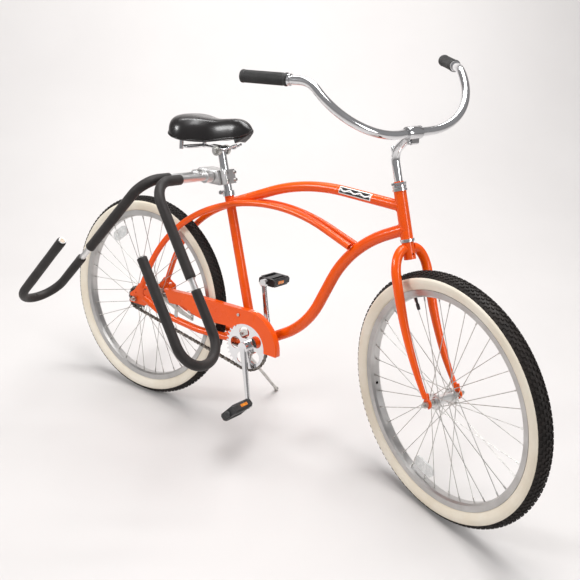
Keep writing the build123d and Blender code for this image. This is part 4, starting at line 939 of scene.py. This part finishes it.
# %% [markdown]
# ## Grips
#
# The grips are soft rubber with a field of small raised pads between two plain collars. The pads
# are separate little frustums laid round the sleeve, so they catch the light one by one.

# %% Grips
BAR_MIDDLE = Vector((905.0, 0.0, 983.6))
BAR_SHOULDER, BAR_END = Vector((-98.3, 238.1, 129.1)), Vector((-255.4, 328.7, 133.7))
GRIP_LENGTH = 122.0
PAD_RINGS, PADS_IN_RING = 21, 18
# distance from the bar's end and radius, from the closed end to the inner collar
GRIP_PROFILE = [(-5.0, 0.02), (-5.0, 9.0), (-4.2, 13.0), (-2.4, 15.6), (0.0, 16.2), (3.5, 16.2),
                (5.0, 14.6), (GRIP_LENGTH - 8, 14.4), (GRIP_LENGTH - 6, 15.8),
                (GRIP_LENGTH - 3, 16.4), (GRIP_LENGTH - 0.6, 16.0), (GRIP_LENGTH, 14.8),
                (GRIP_LENGTH, 11.4)]
handlebar_middle = Vector(joints["handlebar_tilt"]["pos_m"])
bar_offset = (bike.inverted() @ (turn_fork.inverted() @ handlebar_middle)) / MM - BAR_MIDDLE

for name, side in (("grip_left", 1), ("grip_right", -1)):
    flip = Vector((1, side, 1))
    tip = BAR_MIDDLE + bar_offset + BAR_END * flip
    inward = ((BAR_SHOULDER - BAR_END) * flip).normalized()
    across = inward.cross(Vector((0, 0, 1))).normalized()
    over = across.cross(inward)

    def grip_point(along, radius, angle):
        """A point of the grip, by its distance from the bar's end and its angle round the bar."""
        aside = (across * math.cos(angle) + over * math.sin(angle)) * radius
        return on_fork(*(tip + inward * along + aside))

    sides = 40
    sleeve = [grip_point(along, radius, 2 * math.pi * k / sides)
              for along, radius in GRIP_PROFILE for k in range(sides)]
    pads = [(sleeve, ring_faces(len(GRIP_PROFILE), sides))]
    for ring in range(PAD_RINGS):
        middle = 9.5 + ring * 4.95
        for k in range(PADS_IN_RING):
            angle = 2 * math.pi * (k + 0.5 * (ring % 2)) / PADS_IN_RING
            corners = []
            for radius, share in ((14.2, 1.0), (15.5, 0.68)):
                for du, dv in ((-1, 0), (0, -1), (1, 0), (0, 1)):
                    corners.append(grip_point(middle + du * 2.6 * share, radius,
                                              angle + dv * 0.165 * share))
            pads.append((corners, [(4, 5, 6, 7), *BLOCK_SIDES]))
    grip = make_piece(name + "_sleeve", *merge(pads), grip_rubber, "handlebar", smooth=False,
                      slot="black_rubber")
    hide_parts(name)
print("pads on each grip:", len(pads) - 1)

# %% [markdown]
# ## Pedal reflectors and treads
#
# Each pedal has an amber reflector front and rear, ribs that stop the foot from slipping, and a
# black dust cap over the outer end of its spindle.

# %% Pedal details
PEDAL_LENGTH = 80.0
RIBS_IN_ROW = 11
# distance from the pedal's inner edge and radius
DUST_CAP = [(79.5, 8.9), (85.6, 8.9), (87.0, 7.6), (87.6, 4.0), (87.7, 0.2)]


def block(matrix, low, high, taper=0.0):
    """A box with its outer corners pulled in, given in the pedal's own axes."""
    (x0, y0, z0), (x1, y1, z1) = low, high
    points = [matrix @ (Vector((x, y, z)) * MM) for x, y, z in (
        (x0, y0, z0), (x1, y0, z0), (x1, y1, z0), (x0, y1, z0),
        (x0 + taper, y0 + taper, z1), (x1 - taper, y0 + taper, z1),
        (x1 - taper, y1 - taper, z1), (x0 + taper, y1 - taper, z1))]
    return points, [(3, 2, 1, 0), (4, 5, 6, 7), *BLOCK_SIDES]


for name, side, tilt in (("right", -1, 48.0), ("left", 1, 0.0)):
    centre = Vector(joints[f"pedal_{name}_spin"]["pos_m"])
    turn = Matrix.Rotation(-math.radians(tilt), 4, "Y")
    matrix = bike.to_3x3().to_4x4()
    matrix.translation = centre
    matrix = matrix @ turn
    inner = side * 14.0
    near, far = sorted((inner, inner + side * PEDAL_LENGTH))
    lenses, ribs = [], []
    for front in (-1, 1):
        face = matrix @ Matrix.Rotation(front * math.pi / 2, 4, "Y")
        middle = (near + far) / 2 - side * 6
        lenses.append(block(face, (-5, middle - 15, 28.6), (5, middle + 15, 31.2), 1.0))
    for level in (-1, 1):
        flat = matrix @ Matrix.Rotation(0 if level > 0 else math.pi, 4, "X")
        low, high = (near, far) if level > 0 else (-far, -near)
        for place in (-26.5, -23.0, 23.0, 26.5):
            for k in range(RIBS_IN_ROW):
                middle = low + 8 + (high - low - 16) * k / (RIBS_IN_ROW - 1)
                ribs.append(block(flat, (place - 1.2, middle - 2.2, 11.8),
                                  (place + 1.2, middle + 2.2, 13.2), 0.4))
    cap_points, sides = [], 24
    for out, radius in DUST_CAP:
        for k in range(sides):
            a = 2 * math.pi * k / sides
            spot = Vector((radius * math.cos(a), inner + side * out, radius * math.sin(a)))
            cap_points.append(matrix @ (spot * MM))
    make_piece(f"pedal_{name}_dust_cap", cap_points, ring_faces(len(DUST_CAP), sides),
               black_plastic, f"pedal_{name}", slot="black_plastic")
    make_piece(f"pedal_{name}_reflectors", *merge(lenses), amber_prisms, f"pedal_{name}",
               smooth=False, slot="clear_plastic")
    make_piece(f"pedal_{name}_ribs", *merge(ribs), black_plastic, f"pedal_{name}", smooth=False,
               slot="black_plastic")
print("ribs on each pedal:", len(ribs))

# %% [markdown]
# ## Weld beads
#
# Where two tubes meet, the welder leaves a small rippled bead under the paint. Each bead follows
# the line where one round tube runs into another: from every point round the first tube a ray
# is carried along it until it meets the second.

# %% Weld beads
TOP_TUBE, DOWN_TUBE, SEAT_TUBE, HEAD_TUBE, BRACKET_SHELL = 14.3, 16.0, 14.3, 16.0, 28.5
SEAT_ANGLE = math.radians(72)
RAY_START = 60            # how far back along the tube the rays set out


def weld_bead(name, start, direction, radius, axis_point, axis, other_radius, size=1.9):
    """A rippled ring where a tube heading in a direction meets another round tube."""
    start, direction, axis_point = Vector(start), Vector(direction).normalized(), Vector(axis_point)
    axis = Vector(axis).normalized()
    side = direction.orthogonal().normalized()
    other = direction.cross(side)
    ring, radii = [], []
    count = 96
    for k in range(count):
        a = 2 * math.pi * k / count
        origin = start + (side * math.cos(a) + other * math.sin(a)) * radius
        flat_d = direction - axis * direction.dot(axis)
        to_origin = origin - axis_point
        flat_o = to_origin - axis * to_origin.dot(axis)
        qa, qb = flat_d.dot(flat_d), 2 * flat_d.dot(flat_o)
        qc = flat_o.dot(flat_o) - other_radius ** 2
        root = qb * qb - 4 * qa * qc
        t = (-qb - math.sqrt(root)) / (2 * qa) if root > 0 else -qb / (2 * qa)
        ring.append(on_frame(*(origin + direction * t)))
        radii.append((size + 0.3 * math.sin(k * 2 * math.pi / 3.2)) * MM)
    return make_piece(name, *sweep_ring(ring, radii, 10, closed=True), orange_enamel, "frame",
                      slot="frame_paint")


head_foot = Vector((906.8, 0, 714.0))
head_line = Vector((-math.cos(HEAD_ANGLE), 0, math.sin(HEAD_ANGLE)))
seat_line = Vector((-math.cos(SEAT_ANGLE), 0, math.sin(SEAT_ANGLE)))
bracket_mm = Vector((bracket_on_bike.x, 0, bracket_on_bike.z))
seat_foot = bracket_mm + Vector((-7.5, 0, 0))
top_bend = Vector((583.6, 0, 810.2))
down_upper, down_lower = Vector((744.5, 0, 662.8)), Vector((634.5, 0, 402))
across_head = Vector((math.sin(HEAD_ANGLE), 0, math.cos(HEAD_ANGLE)))
top_at_head = head_foot + head_line * 83
down_at_head = head_foot + head_line * 26 + across_head * 5
top_at_seat = seat_foot + seat_line * ((703 - seat_foot.z) / seat_line.z)
top_way = (top_at_head - top_bend).normalized()
seat_way = (top_at_seat - top_bend).normalized()
down_way = (down_at_head - down_upper).normalized()
lower_way = (bracket_mm - down_lower).normalized()
weld_bead("weld_top_tube_head", top_at_head - top_way * RAY_START, top_way, TOP_TUBE,
          head_foot, head_line, HEAD_TUBE)
weld_bead("weld_down_tube_head", down_at_head - down_way * RAY_START, down_way, DOWN_TUBE,
          head_foot, head_line, HEAD_TUBE + 0.05)
weld_bead("weld_top_tube_seat", top_at_seat - seat_way * RAY_START, seat_way, TOP_TUBE,
          seat_foot, seat_line, SEAT_TUBE + 0.05)
weld_bead("weld_seat_tube_bracket", seat_foot + seat_line * 70, -seat_line, SEAT_TUBE,
          bracket_mm, (0, 1, 0), BRACKET_SHELL)
weld_bead("weld_down_tube_bracket", bracket_mm - lower_way * 70, lower_way, DOWN_TUBE,
          bracket_mm, (0, 1, 0), BRACKET_SHELL)
print("weld beads: 5")

# %% [markdown]
# ## Badge
#
# The top tube carries a small sticker near the head: a black field with a white edge and a pale
# wave, with no words. It is a thin patch bent round the tube and a hair proud of it.

# %% Badge on the top tube
label = bpy.data.materials.new("badge_print")
label.use_nodes = True
tree = label.node_tree
shader = tree.nodes["Principled BSDF"]
shader.inputs["Coat Weight"].default_value = 0.6
shader.inputs["Coat Roughness"].default_value = 0.1
grid = tree.nodes.new("ShaderNodeUVMap")
parts = tree.nodes.new("ShaderNodeSeparateXYZ")
tree.links.new(grid.outputs["UV"], parts.inputs["Vector"])
edge_x = combine(tree, "ABSOLUTE", combine(tree, "SUBTRACT", parts.outputs["X"], 0.5), 0.0)
edge_y = combine(tree, "ABSOLUTE", combine(tree, "SUBTRACT", parts.outputs["Y"], 0.5), 0.0)
border = combine(tree, "MAXIMUM", combine(tree, "GREATER_THAN", edge_x, 0.47),
                 combine(tree, "GREATER_THAN", edge_y, 0.38))
swell = combine(tree, "MULTIPLY", combine(tree, "SINE", combine(tree, "MULTIPLY",
                parts.outputs["X"], 21.0), 0.0), 0.14)
gap = combine(tree, "ABSOLUTE", combine(tree, "SUBTRACT", combine(tree, "SUBTRACT",
              parts.outputs["Y"], 0.5), swell), 0.0)
wave = combine(tree, "LESS_THAN", gap, 0.09)
ink = tree.nodes.new("ShaderNodeMix")
ink.data_type = "RGBA"
ink.inputs["A"].default_value = (0.012, 0.012, 0.013, 1)
ink.inputs["B"].default_value = (0.78, 0.77, 0.74, 1)
tree.links.new(combine(tree, "MAXIMUM", border, wave), ink.inputs["Factor"])
tree.links.new(ink.outputs["Result"], shader.inputs["Base Color"])
tree.links.new(spread(tree, noise(tree, 40.0, 4.0), 0.3, 0.7, 0.25, 0.4),
               shader.inputs["Roughness"])
top_route = route_through([top_at_seat, top_bend, top_at_head], [560.0], 4.0)
badge_points, badge_faces = [], []
BADGE_FROM, BADGE_TO, BADGE_PROUD = 698, 800, 0.3
stretch = [n for n, p in enumerate(top_route[:-1]) if BADGE_FROM < p.x < BADGE_TO]
ROUND = 14
for n in stretch:
    ahead_here = (top_route[n + 1] - top_route[n - 1]).normalized()
    lift = ahead_here.cross(-SIDEWAYS)
    if lift.z < 0:
        lift = -lift
    for k in range(ROUND + 1):
        a = math.radians(-22 + 84 * k / ROUND)
        out = (lift * math.sin(a) - SIDEWAYS * math.cos(a)) * (TOP_TUBE + BADGE_PROUD)
        badge_points.append(on_frame(*(top_route[n] + out)))
for n in range(len(stretch) - 1):
    for k in range(ROUND):
        a = n * (ROUND + 1) + k
        badge_faces.append((a, a + 1, a + ROUND + 2, a + ROUND + 1))
badge = make_piece("top_tube_badge", badge_points, badge_faces, label, "frame",
                   slot="frame_paint")
uv_layer = badge.data.uv_layers.new(name="print")
for loop in badge.data.loops:
    n, k = divmod(loop.vertex_index, ROUND + 1)
    uv_layer.data[loop.index].uv = (n / (len(stretch) - 1), k / ROUND)
print("badge:", len(badge_faces), "faces")

# %% [markdown]
# ## Studio
#
# A pale sweep of paper makes the floor and the wall in one piece, with no line between them. A
# broad soft light hangs overhead, a key stands to the camera's left and a fill to its right, and
# a fourth, behind the bicycle, whitens the wall. The back of the paper lets everything through,
# so the bicycle can also be looked at from behind. The room beyond the lamps stays a dim grey,
# because chrome needs something dark to reflect.

# %% Paper sweep
paper = finish("floor_paper", [(0.62, 0.60, 0.59), (0.65, 0.63, 0.62)], (0.6, 0.75),
               smudge=1.2, tone_scale=0.8)
paper_tree = paper.node_tree
paper_side = paper_tree.nodes.new("ShaderNodeNewGeometry")
see_through = paper_tree.nodes.new("ShaderNodeBsdfTransparent")
one_way = paper_tree.nodes.new("ShaderNodeMixShader")
paper_tree.links.new(paper_side.outputs["Backfacing"], one_way.inputs["Fac"])
paper_tree.links.new(paper_tree.nodes["Principled BSDF"].outputs["BSDF"], one_way.inputs[1])
paper_tree.links.new(see_through.outputs["BSDF"], one_way.inputs[2])
paper_tree.links.new(one_way.outputs["Shader"],
                     paper_tree.nodes["Material Output"].inputs["Surface"])
# A level floor that bends up into a wall behind the bicycle, seen from the camera.
WIDTH, WALL_AT, BEND, WALL_HIGH = 24.0, 3.6, 2.2, 7.0
outline = [(-12.0, 0.0), (-3.0, 0.0), (0.0, 0.0), (WALL_AT - BEND, 0.0)]
outline += [(WALL_AT - BEND + BEND * math.sin(math.pi / 2 * k / 16),
             BEND - BEND * math.cos(math.pi / 2 * k / 16)) for k in range(1, 17)]
outline.append((WALL_AT, WALL_HIGH))
away = Vector((look_on_floor.x, look_on_floor.y, 0)).normalized()
beside = Vector((away.y, -away.x, 0))
sweep_points, sweep_faces = [], []
COLUMNS = 8
for reach, height in outline:
    for k in range(COLUMNS + 1):
        place = away * reach + beside * WIDTH * (k / COLUMNS - 0.5)
        sweep_points.append((place.x, place.y, height))
for n in range(len(outline) - 1):
    for k in range(COLUMNS):
        a = n * (COLUMNS + 1) + k
        sweep_faces.append((a, a + 1, a + COLUMNS + 2, a + COLUMNS + 1))
sweep_mesh = bpy.data.meshes.new("paper_sweep")
sweep_mesh.from_pydata(sweep_points, [], sweep_faces)
sweep_mesh.materials.append(paper)
sweep_mesh.polygons.foreach_set("use_smooth", [True] * len(sweep_mesh.polygons))
paper_sweep = bpy.data.objects.new("paper_sweep", sweep_mesh)
bpy.context.scene.collection.objects.link(paper_sweep)
paper_sweep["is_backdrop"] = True

# %% [markdown]
# The lamps are soft boxes. Each is given its place, what it looks at, its size and its power.

# %% Lights


def soft_light(name, place, aim, size, power):
    """A rectangular soft box, aimed at a point."""
    light = bpy.data.lights.new(name, "AREA")
    light.shape = "RECTANGLE"
    light.size, light.size_y = size
    light.energy = power
    lamp = bpy.data.objects.new(name, light)
    lamp.location = place
    lamp.rotation_euler = (Vector(aim) - Vector(place)).to_track_quat("-Z", "Y").to_euler()
    bpy.context.scene.collection.objects.link(lamp)
    return lamp


soft_light("overhead_bank", (0.3, 0.2, 3.2), (0, 0, 0.3), (2.6, 1.6), 90)
soft_light("key_bank", (-2.2, -3.2, 2.6), (0, 0, 0.5), (1.3, 1.1), 82)
soft_light("fill_bank", (3.9, -0.4, 1.9), (0.2, 0, 0.5), (1.0, 1.6), 40)
backdrop = away * 1.4
soft_light("backdrop_bank", (backdrop.x, backdrop.y, 3.6),
           (away.x * 3.6, away.y * 3.6, 0.9), (3.0, 0.8), 78)
world = bpy.data.worlds.new("studio_air")
world.use_nodes = True
world.node_tree.nodes["Background"].inputs["Color"].default_value = (0.80, 0.79, 0.80, 1)
world.node_tree.nodes["Background"].inputs["Strength"].default_value = 0.38
bpy.context.scene.world = world
bpy.context.scene.view_settings.view_transform = "Standard"
print("lamps:", len(bpy.data.lights))

# %% [markdown]
# ## Sizes
#
# Last comes the bounding box of the dressed model, leaving out hidden parts and the paper sweep.

# %% Sizes and finish
low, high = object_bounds()
